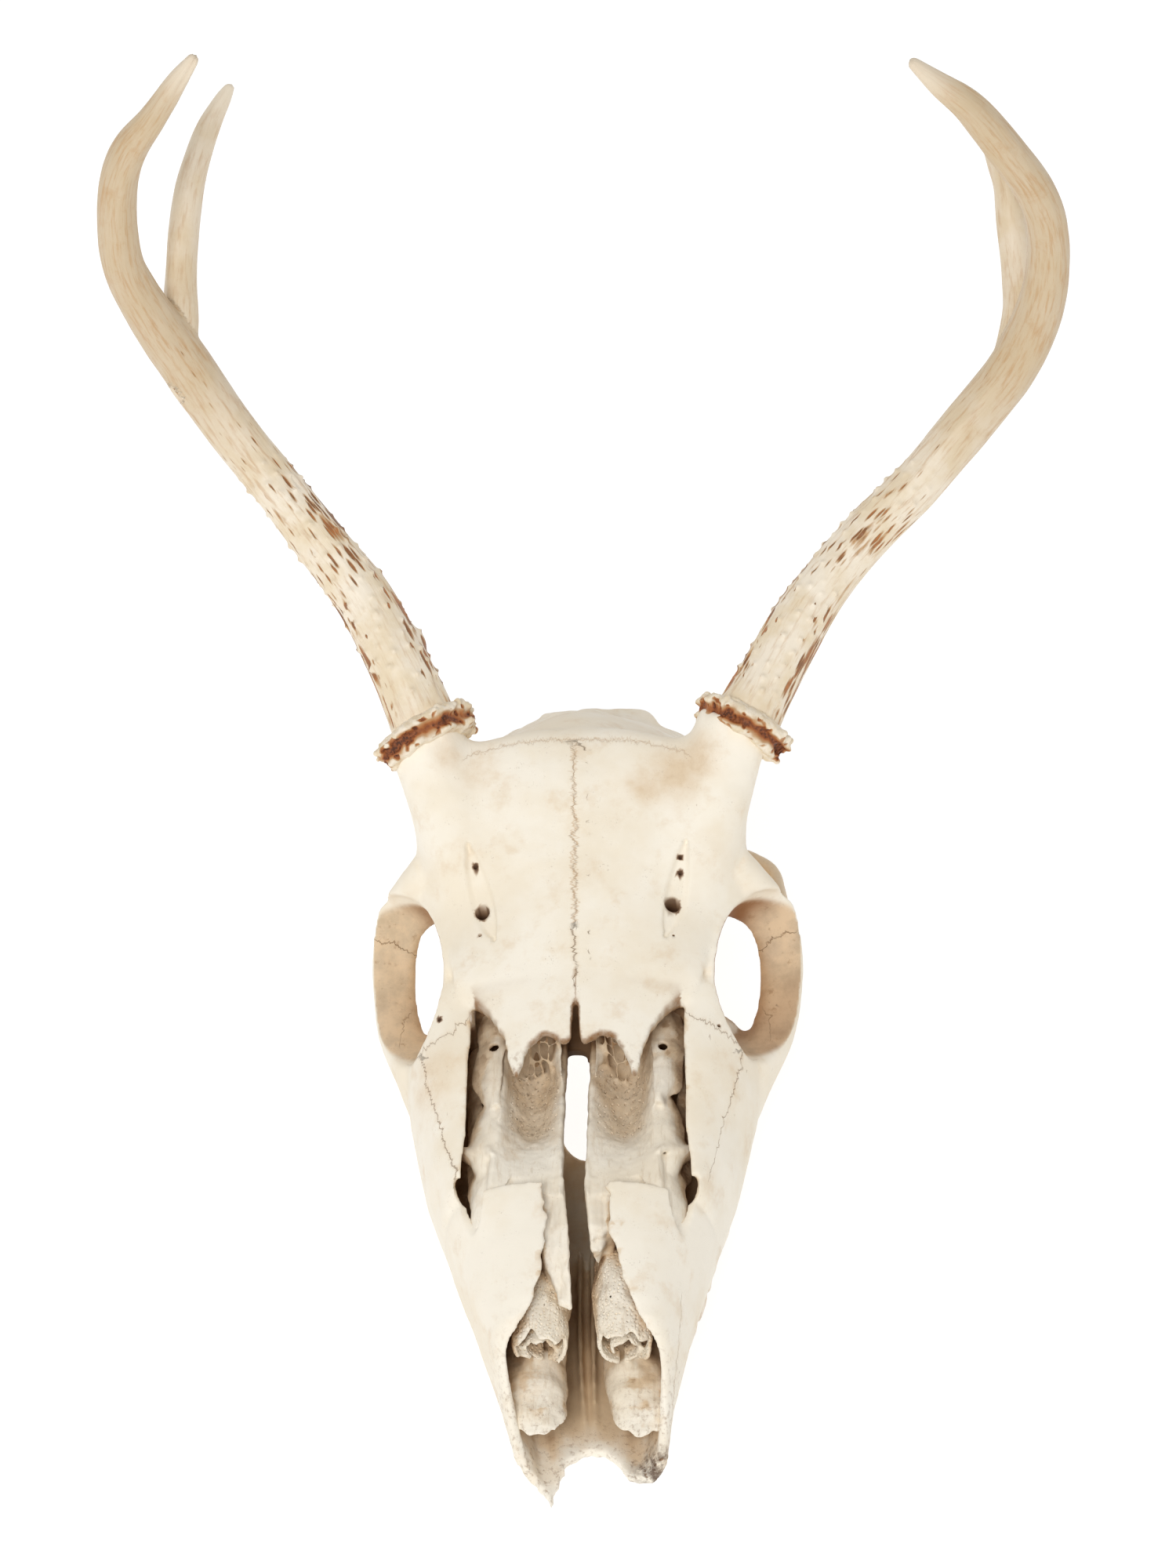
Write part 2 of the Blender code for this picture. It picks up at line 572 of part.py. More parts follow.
# ---- the scrolls inside the nose --------------------------------------------------------------
def upper_scroll(group):
    """The shelf under the frontals, hollowed on top, and the strip that runs forward from it."""
    shelf = []
    for y, low, dish, rim in SHELF:
        shelf.append([(SLOT, y, low), (SLOT, y, rim - 1), (5.2, y, rim), (8, y, (dish + rim) / 2 - 1),
                      (12, y, dish), (16, y, (dish + rim) / 2), (19, y, rim), (21, y, rim - 1.5),
                      (22.5, y, rim - 8), (17, y, low)])
    strip = [[(SLOT, y, low), (SLOT, y, high), (width, y, high - 1), (width, y, low + 2)]
             for y, low, high, width in STRIP]
    root = [oval((x, y, 43), (3, 0, 0), (0, 0, 2.4), 8) for x, y in ((19, -33), (22, -24), (27, -18))]
    return [loft("shelf", shelf, group), loft("strip", strip, group), loft("shelf_root", root, group)]


def lower_scroll(group):
    """The porous roll in the front of the nose and the ridged plate below it."""
    roll = [oval((ROLL_X, y, z), (half, 0, 0), (0, 0, tall), 14) for y, z, half, tall in ROLL]
    plate = [oval((LOW_PLATE_X, y, z), (half, 0, 0), (0, 0, tall), 14) for y, z, half, tall in LOW_PLATE]
    root = [oval((x, -44, z), (0, 14, 0), (0, 0, 1.8), 12)
            for x, z in ((10, 20), (20, 20), (28, 19), (34, 18))]
    return [loft("roll", roll, group), loft("plate", plate, group), loft("roll_root", root, group)]


def scroll(name, shapes, triangles, bone, group, nodes):
    """One scroll as a single body, kept clear of the bone round it."""
    made = joined(name, shapes, group)
    skinned(made, 1.0)
    count = sum(len(face.vertices) - 2 for face in made.data.polygons)
    thin = made.modifiers.new("thin", "DECIMATE")
    thin.ratio = triangles / count
    bake(made)
    combine(made, bone, "DIFFERENCE")
    largest_body(made)
    group.objects.unlink(made)
    nodes.objects.link(made)
    return made


# ---- where the bone is parted into its named pieces -------------------------------------------
def socket_region(group):
    """The room taken by the left eye socket's ring and the arch behind it."""
    region = loft("socket_region", [orbit_ring(-4.4, deep) for deep in (-10, 13)], group)
    behind = box("arch_region", (36, 44, 20), (64, 80.5, 49.5), group)
    combine(region, behind, "UNION")
    bpy.data.objects.remove(behind)
    return region


def frontal_region(group):
    """The room taken by the left frontal bone with its stalk."""
    half_gap = GAP / 2
    rows = ((-20, half_gap, 27.6, 49), (11, half_gap, 27.8, 50), (17, half_gap, 60, 54),
            (40, half_gap, 60, 56), (68.6, half_gap, 60, 71), (69.2, 22, 60, 71.5), (90, 27, 60, 78))
    return loft("frontal_region", [[(near, y, low), (far, y, low), (far, y, 130), (near, y, 130)]
                                   for y, near, far, low in rows], group)


def part_bone(bone, group, nodes):
    """Part the whole bone into the braincase, the core and the pieces of either side."""
    found = {}
    sockets = {"left": socket_region(group)}
    sockets["right"] = mirrored(sockets["left"], group)
    roofs = {"left": frontal_region(group)}
    roofs["right"] = mirrored(roofs["left"], group)
    wide = [grown(region, GAP, group) for region in [*sockets.values(), *roofs.values()]]
    half_gap = GAP / 2
    for side, sign in SIDES.items():
        found["eye_socket_" + side] = (sockets[side], [])
        found["frontal_" + side] = (roofs[side], [grown(sockets[side], GAP, group)])
        front = box("maxilla_region", (half_gap, -120, -30), (FAR, 19.4, 130), group)
        behind = box("swelling_region", (17, 0, -30), (FAR, 38, 130), group)
        combine(front, behind, "UNION")
        if sign < 0:
            front = mirrored(front, group)
        found["maxilla_" + side] = (front, wide)
    fronts = [grown(found["maxilla_" + side][0], GAP, group) for side in SIDES]
    found["sphenoid"] = (box("core_region", (-FAR, 17, -30), (FAR, 58, 130), group), wide + fronts)
    found["braincase"] = (box("case_region", (-FAR, 58 + GAP, -30), (FAR, 150, 130), group), wide)
    pieces = []
    for name, (keep, cut) in found.items():
        piece = put(name, bone.data.copy(), nodes)
        combine(piece, keep, "INTERSECT")
        for region in cut:
            combine(piece, region, "DIFFERENCE")
        pieces.append(largest_body(piece))
    return pieces


# ---- antlers ----------------------------------------------------------------------------------
def burr_rings(side, radius, low, high, lump):
    """Rings of the rough collar at the foot of an antler, with its lumps."""
    centre, axis = (np.array(v, float) for v in BURR[side])
    axis /= np.linalg.norm(axis)
    across = np.cross(axis, (0, 0, 1.0))
    across /= np.linalg.norm(across)
    other = np.cross(axis, across)
    rings = []
    for height, share in ((low, 0.86), (low + 1.4, 1.0), (high - 1.4, 0.98), (high, 0.8)):
        ring = []
        for i in range(20):
            a = 2 * math.pi * i / 20
            reach = radius * share + lump * (0.6 * math.sin(5 * a + 1) + 0.4 * math.sin(8 * a + height))
            ring.append(centre + axis * height + (across * math.cos(a) + other * math.sin(a)) * reach)
        rings.append(ring)
    return rings


def antler(side, bone, group, nodes):
    """One antler: its collar, its beam, its main branch and its rear tine."""
    half = BURR_HEIGHT / 2
    burr = loft("burr_" + side, burr_rings(side, BURR_RADIUS, -half, half, 0.9), nodes)
    room = loft("burr_room", burr_rings(side, BURR_RADIUS + 4, -half - GAP, 16, 0), group)
    combine(bone, room, "DIFFERENCE")
    beam = tube("beam_" + side, BEAM[side], 14, 1, nodes)
    branch = tube("branch_" + side, BRANCH[side], 12, 1, nodes, True)
    tine = tube("tine_" + side, TINE[side], 10, 1, nodes, True)
    for piece, blockers in ((beam, [burr]), (branch, [beam]), (tine, [beam, branch])):
        for blocker in blockers:
            combine(piece, grown(blocker, GAP, group), "DIFFERENCE")
        largest_body(piece)
    return [burr, beam, branch, tine]


# ---- putting it together ----------------------------------------------------------------------
def floor_height(y):
    """Height of the floor in the skull's own frame, where the skull rests on it."""
    slope = (REST_BACK[1] - REST_FRONT[1]) / (REST_BACK[0] - REST_FRONT[0])
    return REST_FRONT[1] + slope * (y - REST_FRONT[0])


def bend_snout(thing):
    """Give the snout the slight sideways bend that it has in front of the frontals."""
    for vert in thing.data.vertices:
        forward = min(vert.co.y / MM, 0)
        vert.co.x += SNOUT_BEND * forward ** 2 * MM


def settle(pieces, nodes):
    """Tip the pieces into the pose they rest in, with the middle of their box over the origin."""
    tilt = math.atan2(REST_BACK[1] - REST_FRONT[1], REST_BACK[0] - REST_FRONT[0])
    rest = bpy.data.objects.new("rest_pose", None)
    nodes.objects.link(rest)
    turn = Matrix.Rotation(-tilt, 4, "X")
    points = np.array([turn @ vert.co for piece in pieces for vert in piece.data.vertices])
    low, high = points.min(axis=0), points.max(axis=0)
    rest.rotation_euler = (-tilt, 0, 0)
    rest.location = (-(low[0] + high[0]) / 2, -(low[1] + high[1]) / 2, -low[2])
    for piece in pieces:
        piece.parent = rest


def main():
    """Make every piece of the skull and set it on the floor."""
    for thing in list(bpy.data.objects):
        bpy.data.objects.remove(thing)
    nodes = bpy.data.collections.new("deer_skull")
    group = bpy.data.collections.new("cutters")
    for collection in (nodes, group):
        bpy.context.scene.collection.children.link(collection)

    bone = bone_skin(group)
    under = [(y, floor_height(y)) for y in (-200, 200)] + [(200, -90), (-200, -90)]
    floor = loft("floor_room", [[(x, y, z) for y, z in under] for x in (-150, 150)], group)
    combine(bone, floor, "DIFFERENCE")
    pieces = []
    for side in SIDES:
        pieces += antler(side, bone, group, nodes)
    wide_bone = grown(bone, GAP, group)
    for side, sign in SIDES.items():
        for name, shapes, triangles in (("upper_scroll_", upper_scroll(group), 260),
                                        ("lower_scroll_", lower_scroll(group), 240)):
            if sign < 0:
                shapes = [mirrored(shape, group) for shape in shapes]
            pieces.append(scroll(name + side, shapes, triangles, wide_bone, group, nodes))
    pieces += part_bone(bone, group, nodes)

    colours = {"burr": BURR_BROWN, "beam": ANTLER, "branch": ANTLER, "tine": TINE_IVORY,
               "upper": GREY_BONE, "lower": GREY_BONE, "eye": WARM_BONE, "sphenoid": WARM_BONE}
    for piece in pieces:
        paint(piece, colours.get(piece.name.split("_")[0], BONE))
        bend_snout(piece)
    settle(pieces, nodes)
    for thing in list(group.objects):
        bpy.data.objects.remove(thing)
    bpy.data.collections.remove(group)


main()
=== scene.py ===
# %% [markdown]
# # A young buck's skull, in cells
# A skull looks like one smooth thing, but it is a dozen thin bones grown together round four hollows:
# the braincase, two eye sockets and the nose. This lesson builds it the way a model maker would.
# Plain closed shapes are laid over one another, one skin is drawn over them all, and the skin is then
# worked with numbers: cut, softened, dented and stained. The antlers, the burrs, the teeth and the thin
# scrolls inside the nose are made apart, because each of them has a surface of its own.
#
# The imported CAD model comes first. It fixes where everything is and how large it is.

# %% Load the frame and keep its parts
import math

import bmesh
import bpy
import numpy as np
from mathutils import Matrix, Vector
from mathutils.bvhtree import BVHTree
from mathutils.kdtree import KDTree


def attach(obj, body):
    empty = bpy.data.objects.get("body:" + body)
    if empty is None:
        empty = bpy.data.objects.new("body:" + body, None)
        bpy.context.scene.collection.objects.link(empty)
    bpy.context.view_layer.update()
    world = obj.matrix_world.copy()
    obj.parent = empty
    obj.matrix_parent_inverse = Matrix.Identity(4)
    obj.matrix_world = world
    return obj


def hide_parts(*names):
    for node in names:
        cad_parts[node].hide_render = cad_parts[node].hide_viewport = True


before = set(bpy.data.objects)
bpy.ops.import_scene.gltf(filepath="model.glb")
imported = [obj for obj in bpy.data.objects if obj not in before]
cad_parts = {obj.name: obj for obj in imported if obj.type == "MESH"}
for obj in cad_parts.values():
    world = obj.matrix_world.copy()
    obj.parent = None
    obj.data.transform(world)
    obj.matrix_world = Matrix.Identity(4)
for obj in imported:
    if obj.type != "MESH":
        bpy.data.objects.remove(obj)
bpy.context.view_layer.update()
scene = bpy.context.scene

# %% [markdown]
# ## The skull's own frame
# A floor is a poor place to draw a skull from, because the skull lies on it tipped back. Anatomists draw
# it with the hard palate level, and every size below is given in that frame: millimetres, x to the
# animal's left, y backward, z up, y = 0 under the front end of the frontal bones. One function then
# bends the snout slightly, as the real one is bent, tips the skull back until its last molars and the
# two prongs beside the spine joint touch the floor, and turns millimetres into Blender's metres.

# %% From the skull's frame to the floor
REST_FRONT = (22, -11.8)        # y, z where the last molar touches the floor
REST_BACK = (95, 0.0)           # y, z where the bony prongs touch it
REST_SHIFT = (-5.128, -60.671, 15.159)    # mm, from the tipped skull to its place in the scene
SNOUT_BEND = 0.00055            # sideways shift of the snout, times the square of the distance forward
TILT = math.atan2(REST_BACK[1] - REST_FRONT[1], REST_BACK[0] - REST_FRONT[0])
TURN = np.array(Matrix.Rotation(-TILT, 3, "X"))


def to_floor(points):
    """Points of the skull's frame, in mm, as points of the scene, in metres."""
    points = np.array(points, float)
    points[:, 0] += SNOUT_BEND * np.minimum(points[:, 1], 0) ** 2
    return (points @ TURN.T + REST_SHIFT) * 0.001


print("tilt of the skull on the floor:", round(math.degrees(TILT), 2), "degrees")

# %% [markdown]
# ## The camera and the light
# The camera comes early, since it says which sides matter most. It looks down at 45 degrees from in
# front of the nose, a few degrees to one side, with a long lens, as for a catalogue picture. The light
# is a catalogue's too: a white floor that glows a little itself, as a light table does, so that no
# shadow shows on it, an even white sky, and a large soft lamp above the camera that gives the bone its
# gentle modelling.

# %% Camera
PITCH = math.radians(45)
YAW = math.radians(4)
ROLL = math.radians(1)
DISTANCE = 1200.0               # mm from the camera to the plane that the scale is read in
PLANE = 20.0                    # how far that plane is in front of the frame's origin
MM_PER_PIXEL = 0.191
AIM = (-0.640, 105.564)         # where the optical axis meets that plane, right and up

toward = np.array((0, -math.sin(PITCH), math.cos(PITCH)))
right = np.array((1.0, 0, 0))
back = toward * math.cos(YAW) + right * math.sin(YAW)
right = right * math.cos(YAW) - toward * math.sin(YAW)
up = np.array((0, math.cos(PITCH), math.sin(PITCH)))
right, up = (right * math.cos(ROLL) - up * math.sin(ROLL), up * math.cos(ROLL) + right * math.sin(ROLL))

spot = (right * AIM[0] + up * AIM[1] + back * (DISTANCE + PLANE)) @ TURN.T + REST_SHIFT
camera_data = bpy.data.cameras.new("camera")
camera = bpy.data.objects.new("camera", camera_data)
scene.collection.objects.link(camera)
axes = [direction @ TURN.T for direction in (right, up, back)]
camera.matrix_world = Matrix([[*(float(axis[i]) for axis in axes), float(spot[i]) * 0.001] for i in range(3)]
                             + [[0, 0, 0, 1]])
camera_data.sensor_fit = "HORIZONTAL"
camera_data.sensor_width = 36
camera_data.lens = 36 * DISTANCE / (1500 * MM_PER_PIXEL)
camera_data.clip_end = 20
scene.camera = camera
print("camera at", [round(v, 3) for v in camera.location], "lens", round(camera_data.lens, 1), "mm")

# %% Light, floor and view
SKY = 0.55                      # strength of the even white sky
KEY_WATTS = 30.0


def lamp(name, place, aim, size, watts):
    """A square soft lamp that faces a point."""
    data = bpy.data.lights.new(name, "AREA")
    data.energy = watts
    data.size = size
    thing = bpy.data.objects.new(name, data)
    scene.collection.objects.link(thing)
    thing.location = place
    thing.rotation_euler = (Vector(aim) - Vector(place)).to_track_quat("-Z", "Y").to_euler()
    return thing


world = bpy.data.worlds.new("studio")
world.use_nodes = True
world.node_tree.nodes["Background"].inputs["Color"].default_value = (1, 1, 1, 1)
world.node_tree.nodes["Background"].inputs["Strength"].default_value = SKY
scene.world = world
lamp("key", (-0.35, -1.5, 2.2), (0, 0, 0.08), 0.9, KEY_WATTS)
scene.view_settings.view_transform = "Standard"
scene.view_settings.look = "None"

floor_mesh = bpy.data.meshes.new("floor")
REACH = 4.0                     # metres from the middle of the floor to its edges
floor_mesh.from_pydata([(-REACH, -REACH, 0), (REACH, -REACH, 0), (REACH, REACH, 0), (-REACH, REACH, 0)],
                       [], [(0, 1, 2, 3)])
floor = bpy.data.objects.new("floor", floor_mesh)
scene.collection.objects.link(floor)

# %% [markdown]
# ## The maker's tools
# A shape is kept as two plain lists, its points and its faces, until it is needed as an object. That
# makes it cheap to mirror, to join and to move. A `loft` is a closed skin over rings, and does for
# nearly everything: a tube is a loft of circles along a path, a thin plate is a loft of flat rings.
# `flow` adds smooth rows between the rows of a table, so that a table stays short and its shape round.

# %% Rows of sizes, rings and lofts
def curve(rows, steps):
    """Smooth rows from the second of some rows up to the last but one, which is left out."""
    found = []
    for i in range(1, len(rows) - 2):
        a, b, c, d = rows[i - 1:i + 3]
        for t in np.arange(steps) / steps:
            found.append(0.5 * (2 * b + (c - a) * t + (2 * a - 5 * b + 4 * c - d) * t ** 2
                                + (3 * b - a - 3 * c + d) * t ** 3))
    return found


def flow(rows, steps):
    """The rows of a table with smooth rows added between them."""
    rows = np.array(rows, float)
    ends = np.vstack([2 * rows[0] - rows[1], rows, 2 * rows[-1] - rows[-2]])
    return np.array(curve(ends, steps) + [rows[-1]])


def read(rows, place, column=1):
    """The values of one column of a table, at places between its rows."""
    rows = np.array(rows, float)
    return np.interp(place, rows[:, 0], rows[:, column])


def loft(rings, hoop=False):
    """A closed shape over rings of equally many points; a hoop joins its last ring to its first."""
    rings = np.array(rings, float)
    count, around = rings.shape[:2]
    index = np.arange(count * around).reshape(count, around)
    ends = [] if hoop else [index[0][::-1].tolist(), index[-1].tolist()]
    if hoop:
        index = np.vstack([index, index[:1]])
    after = np.roll(index, -1, axis=1)
    sides = np.stack((index[:-1], after[:-1], after[1:], index[1:]), axis=2).reshape(-1, 4)
    return rings.reshape(-1, 3), sides.tolist() + ends


def turns(count):
    """Angles once round, in equal steps."""
    return np.arange(count) * 2 * math.pi / count


def oval(middle, across, along, sides=32, power=2.0):
    """A ring round a middle with two half axes; a power over 2 squares it off."""
    c, s = np.cos(turns(sides)), np.sin(turns(sides))
    c, s = np.sign(c) * abs(c) ** (2 / power), np.sign(s) * abs(s) ** (2 / power)
    return np.array(middle, float) + np.outer(c, across) + np.outer(s, along)


def upright(path):
    """For each point of a path, two directions square to it that don't spin along the way."""
    side = np.array((0.0, 0.0, 1.0))
    found = []
    for i in range(len(path)):
        ahead = path[min(i + 1, len(path) - 1)] - path[max(i - 1, 0)]
        ahead = ahead / np.linalg.norm(ahead)
        side = side - ahead * side.dot(ahead)
        side /= np.linalg.norm(side)
        found.append((side, np.cross(ahead, side)))
    return found


def tube(points, sides=32, steps=6, round_tip=False):
    """A round tube through rows of a centre and a diameter, with a rounded end where it is a tip."""
    rows = flow([(*centre, diameter / 2) for centre, diameter in points], steps)
    path, radii = rows[:, :3], rows[:, 3]
    if round_tip:
        ahead = (path[-1] - path[-2]) / np.linalg.norm(path[-1] - path[-2])
        bows = np.array((0.25, 0.5, 0.75, 0.93)) * math.pi / 2
        path = np.vstack([path, path[-1] + np.outer(np.sin(bows), ahead) * radii[-1]])
        radii = np.concatenate([radii, radii[-1] * np.cos(bows)])
    return loft([oval(centre, one * radius, other * radius, sides)
                 for centre, radius, (one, other) in zip(path, radii, upright(path))])


def plate(sheet, thickness):
    """A thin closed plate on both sides of a sheet, which is a grid of points."""
    sheet = np.array(sheet, float)
    face = np.cross(np.gradient(sheet, axis=0), np.gradient(sheet, axis=1))
    face /= np.linalg.norm(face, axis=2)[:, :, None] + 1e-9
    step = face * thickness / 2
    return loft(np.concatenate([sheet + step, (sheet - step)[:, ::-1]], axis=1))


print("a ring of a 20 mm circle:", oval((0, 0, 0), (10, 0, 0), (0, 10, 0), 4).round(1).tolist())


# %% Mirror, join, and make objects
def mirror(shape):
    """The same shape on the other side of the skull's midline."""
    return shape[0] * (-1, 1, 1), shape[1]


def both(shapes):
    """Shapes of the left side with their mirror images."""
    return shapes + [mirror(shape) for shape in shapes]


def sided(shapes, sign):
    """Shapes drawn on the left, on the side that a sign says."""
    return shapes if sign > 0 else [mirror(shape) for shape in shapes]


def solid(name, shapes):
    """An object made of closed shapes, with every face turned outward."""
    points, faces, start = [], [], 0
    for shape in shapes:
        points.append(shape[0])
        faces += [[i + start for i in face] for face in shape[1]]
        start += len(shape[0])
    mesh = bpy.data.meshes.new(name)
    mesh.from_pydata(np.concatenate(points).tolist(), [], faces)
    bm = bmesh.new()
    bm.from_mesh(mesh)
    bmesh.ops.triangulate(bm, faces=[face for face in bm.faces if len(face.verts) > 4])
    bmesh.ops.recalc_face_normals(bm, faces=bm.faces)
    bm.to_mesh(mesh)
    bm.free()
    thing = bpy.data.objects.new(name, mesh)
    scene.collection.objects.link(thing)
    return thing


def bake(thing):
    """Replace an object's mesh by what its modifiers make of it."""
    bpy.context.view_layer.update()
    done = bpy.data.meshes.new_from_object(thing.evaluated_get(bpy.context.evaluated_depsgraph_get()))
    thing.modifiers.clear()
    old, thing.data = thing.data, done
    bpy.data.meshes.remove(old)
    return thing


def skin(thing, grain):
    """Draw one even skin of small squares over an object's overlapping shapes."""
    step = thing.modifiers.new("skin", "REMESH")
    step.mode = "VOXEL"
    step.voxel_size = grain
    return bake(thing)


def combine(thing, other, operation="DIFFERENCE"):
    """Take another object away from one, or keep what both share. The other is used up."""
    step = thing.modifiers.new("cut", "BOOLEAN")
    step.operation = operation
    step.solver = "MANIFOLD"
    step.object = other
    bake(thing)
    bpy.data.objects.remove(other)
    return thing


def cut(thing, shapes, operation="DIFFERENCE"):
    """Combine an object with closed shapes, one after another."""
    for shape in shapes:
        combine(thing, solid("cutter", [shape]), operation)
    return thing


def faces_of(thing):
    """How many triangles an object has."""
    return sum(len(face.vertices) - 2 for face in thing.data.polygons)


def copy_of(thing, name):
    """Another object with the same mesh."""
    copy = bpy.data.objects.new(name, thing.data.copy())
    scene.collection.objects.link(copy)
    return copy


# %% [markdown]
# ## Working a skin with numbers
# A modifier treats a whole mesh alike. Bone needs more say than that: the forehead is softened a lot, a
# broken edge hardly at all. So the points are read into numpy, moved there, and written back. Random
# unevenness comes from one seeded noise function, so that the same skull comes out each time.

# %% Points in and out, softening and noise
def points_of(thing):
    """An object's points as an array."""
    found = np.empty(len(thing.data.vertices) * 3)
    thing.data.vertices.foreach_get("co", found)
    return found.reshape(-1, 3)


def normals_of(thing):
    """The direction in which each point of an object faces."""
    found = np.empty(len(thing.data.vertices) * 3)
    thing.data.vertices.foreach_get("normal", found)
    return found.reshape(-1, 3)


def set_points(thing, points):
    """Write an array back as an object's points."""
    thing.data.vertices.foreach_set("co", np.ascontiguousarray(points).ravel())
    thing.data.update()


def soften(thing, rounds, hold=None):
    """Move each point towards the middle of its neighbours, some rounds over, less where it is held."""
    ends = np.empty(len(thing.data.edges) * 2, int)
    thing.data.edges.foreach_get("vertices", ends)
    one, other = ends.reshape(-1, 2).T
    points = points_of(thing)
    count = np.bincount(ends, minlength=len(points))[:, None]
    for _ in range(rounds):
        total = np.zeros_like(points)
        for axis in range(3):
            total[:, axis] = (np.bincount(one, points[other, axis], len(points))
                              + np.bincount(other, points[one, axis], len(points)))
        move = (total / count - points) / 2
        points += move if hold is None else move * (1 - hold)[:, None]
    set_points(thing, points)
    return thing


RANDOM = np.random.default_rng(11).uniform(-1, 1, (32, 32, 32))


def noise(points, size, offset=0.0):
    """Smooth random values between -1 and 1 that change over a distance of size."""
    place = np.asarray(points, float) / size + offset * 7.31 + 100
    cell = np.floor(place).astype(int)
    t = place - cell
    t = t * t * (3 - 2 * t)
    value = 0
    for corner in range(8):
        shift = np.array((corner & 1, corner >> 1 & 1, corner >> 2 & 1))
        weight = np.prod(np.where(shift, t, 1 - t), axis=1)
        i, j, k = ((cell + shift) % 32).T
        value = value + weight * RANDOM[i, j, k]
    return value


def fade(value, low, high):
    """0 below low, 1 above high, and smooth between."""
    t = np.clip((np.asarray(value, float) - low) / (high - low), 0, 1)
    return t * t * (3 - 2 * t)


def mark(thing, **marks):
    """Store named numbers on every point for the materials to read."""
    for name, values in marks.items():
        layer = thing.data.attributes.new(name, "FLOAT", "POINT")
        layer.data.foreach_set("value", np.ascontiguousarray(values, dtype=np.float32))


def tree_over(points):
    """A tree that finds the nearest of some points fast."""
    tree = KDTree(len(points))
    for i, place in enumerate(points):
        tree.insert(place, i)
    tree.balance()
    return tree


print("noise at three points:", noise([(0, 0, 0), (1, 2, 3), (9, 9, 9)], 2.0).round(2).tolist())

# %% [markdown]
# ## The braincase
# Behind the antlers sits a rounded case. A table of cross-sections down its length gives its half width
# and the heights of its floor, its widest place and its top, and each row becomes one ring. The ridge
# where the neck muscles held on, the two joint knobs beside the spinal hole, the hearing capsules and the
# prongs that the skull rests on are tubes and ovals pushed into it. They only have to overlap.

# %% Braincase
# y, half width, z below, z where widest, z above
BRAINCASE = [(48, 21, 40, 60, 80), (60, 28, 33, 60, 91), (69, 32, 29, 60, 95.6), (78, 34, 26, 59, 93.4),
             (87, 34, 25, 56, 87.6), (96, 33, 24, 52, 78.6), (104, 31, 24, 49, 70.8),
             (110.5, 27.5, 25, 47, 65.2), (114, 24, 28, 46, 60)]
TAPERED = 1.35                  # how much narrower than an ellipse the case is above its widest place


def case_ring(row):
    """One cross-section of the braincase."""
    y, half, low, wide, high = row
    c, s = np.cos(turns(88)), np.sin(turns(88))
    reach = np.where(s > 0, high - wide, wide - low)
    across = np.where(s > 0, abs(c) ** TAPERED * np.sign(c), c)
    return np.column_stack((half * across, np.full(88, y), wide + reach * s))


def braincase_shapes():
    """The case with everything that grows out of it behind and below."""
    case = loft([case_ring(row) for row in flow(BRAINCASE, 6)])
    crest = loft([oval((1.2, y, z), (w, 0, 0), (0, -1.2, h), 48, 2.6) for y, z, w, h in
                  flow([(105, 62, 16, 5.6), (109, 62.6, 15.5, 4), (112.5, 62.4, 13.5, 2.4)], 3)])
    knob = tube([((9, 106, 31), 14), ((10, 113, 30.5), 16), ((9.5, 119, 30), 12)], round_tip=True)
    prong = tube([((25, 97, 30), 13), ((27.5, 98, 18), 10), ((27.5, 96.5, 8), 7.4), ((26.5, 95, -3), 5.4)])
    capsule = tube([((17, 88, 27), 15), ((17, 84, 20), 13), ((16, 82, 15), 8)], round_tip=True)
    ear = tube([((22, 84, 30), 9), ((31, 86, 35), 7.5), ((36, 87, 38), 7)])
    floor_of_case = tube([((0, 55, 30), 16), ((0, 80, 26), 18), ((0, 108, 27), 20)])
    ridge = loft([oval((0, y, z), (w, 0, 0), (0, 0, 1.4)) for y, z, w in
                  flow([(86, 87, 0.8), (95, 79.2, 1.8), (104, 71, 2.6), (110, 65, 3)], 4)])
    return [case, crest, floor_of_case, ridge] + both([knob, prong, capsule, ear])


print("braincase:", len(braincase_shapes()), "shapes")

# %% [markdown]
# ## The forehead
# The two frontal bones form the roof between the eye sockets. Their cross-section is a flat-topped arch,
# and from it rise the stalks that carry the antlers. In front the roof is broken off: the nasal bones
# are missing, and what is left is a thin edge with a spike on each side and an open gap between the two
# bones. The outline is cut with a ragged shape, which is the outline with small random steps added.

# %% Frontal bones
# y, half width of the top, z of its outer edge, z on the midline
FRONTAL = [(-12, 24, 53, 58.5), (0, 26.5, 56.5, 62), (13, 28, 60.5, 67), (18, 30.2, 63.4, 69),
           (22, 31, 64.5, 71), (32, 33, 64.5, 76.5), (42, 37.5, 65, 82.3), (50, 40.5, 68, 87),
           (57, 41.3, 73.5, 91.4), (63, 41, 80, 94.6), (69, 38, 86, 96.6), (74, 30, 84, 95.6)]
# y, how far the underside lies below the top
ROOF_DEPTH = [(-12, 1.8), (4, 2.2), (13, 3.4), (20, 8), (74, 18)]
# x, y of the broken front edge, from the gap on the midline outward
FRONTAL_EDGE = [(-0.2, 17.5), (0.3, 13), (0.7, 7), (1.1, 3), (1.7, 0.6), (2.6, 0.2), (4.5, 2), (6.5, 3),
                (8.5, 2.8), (10, 1.6), (12, -1.6), (13.2, -5), (14.1, -6.8), (15, -5.5), (15.6, -3),
                (16.4, 0.3), (17.8, 4.5), (19.5, 8), (22, 11.5), (25.5, 14.5), (40, 15.5)]
# centre and diameter of the left antler's stalk, from the forehead up
PEDICLE = [((22.5, 45, 64), 24), ((28.2, 54.5, 75), 22.6), ((33.6, 64, 85.5), 19.8),
           ((39.0, 74.5, 96.8), 18.8)]


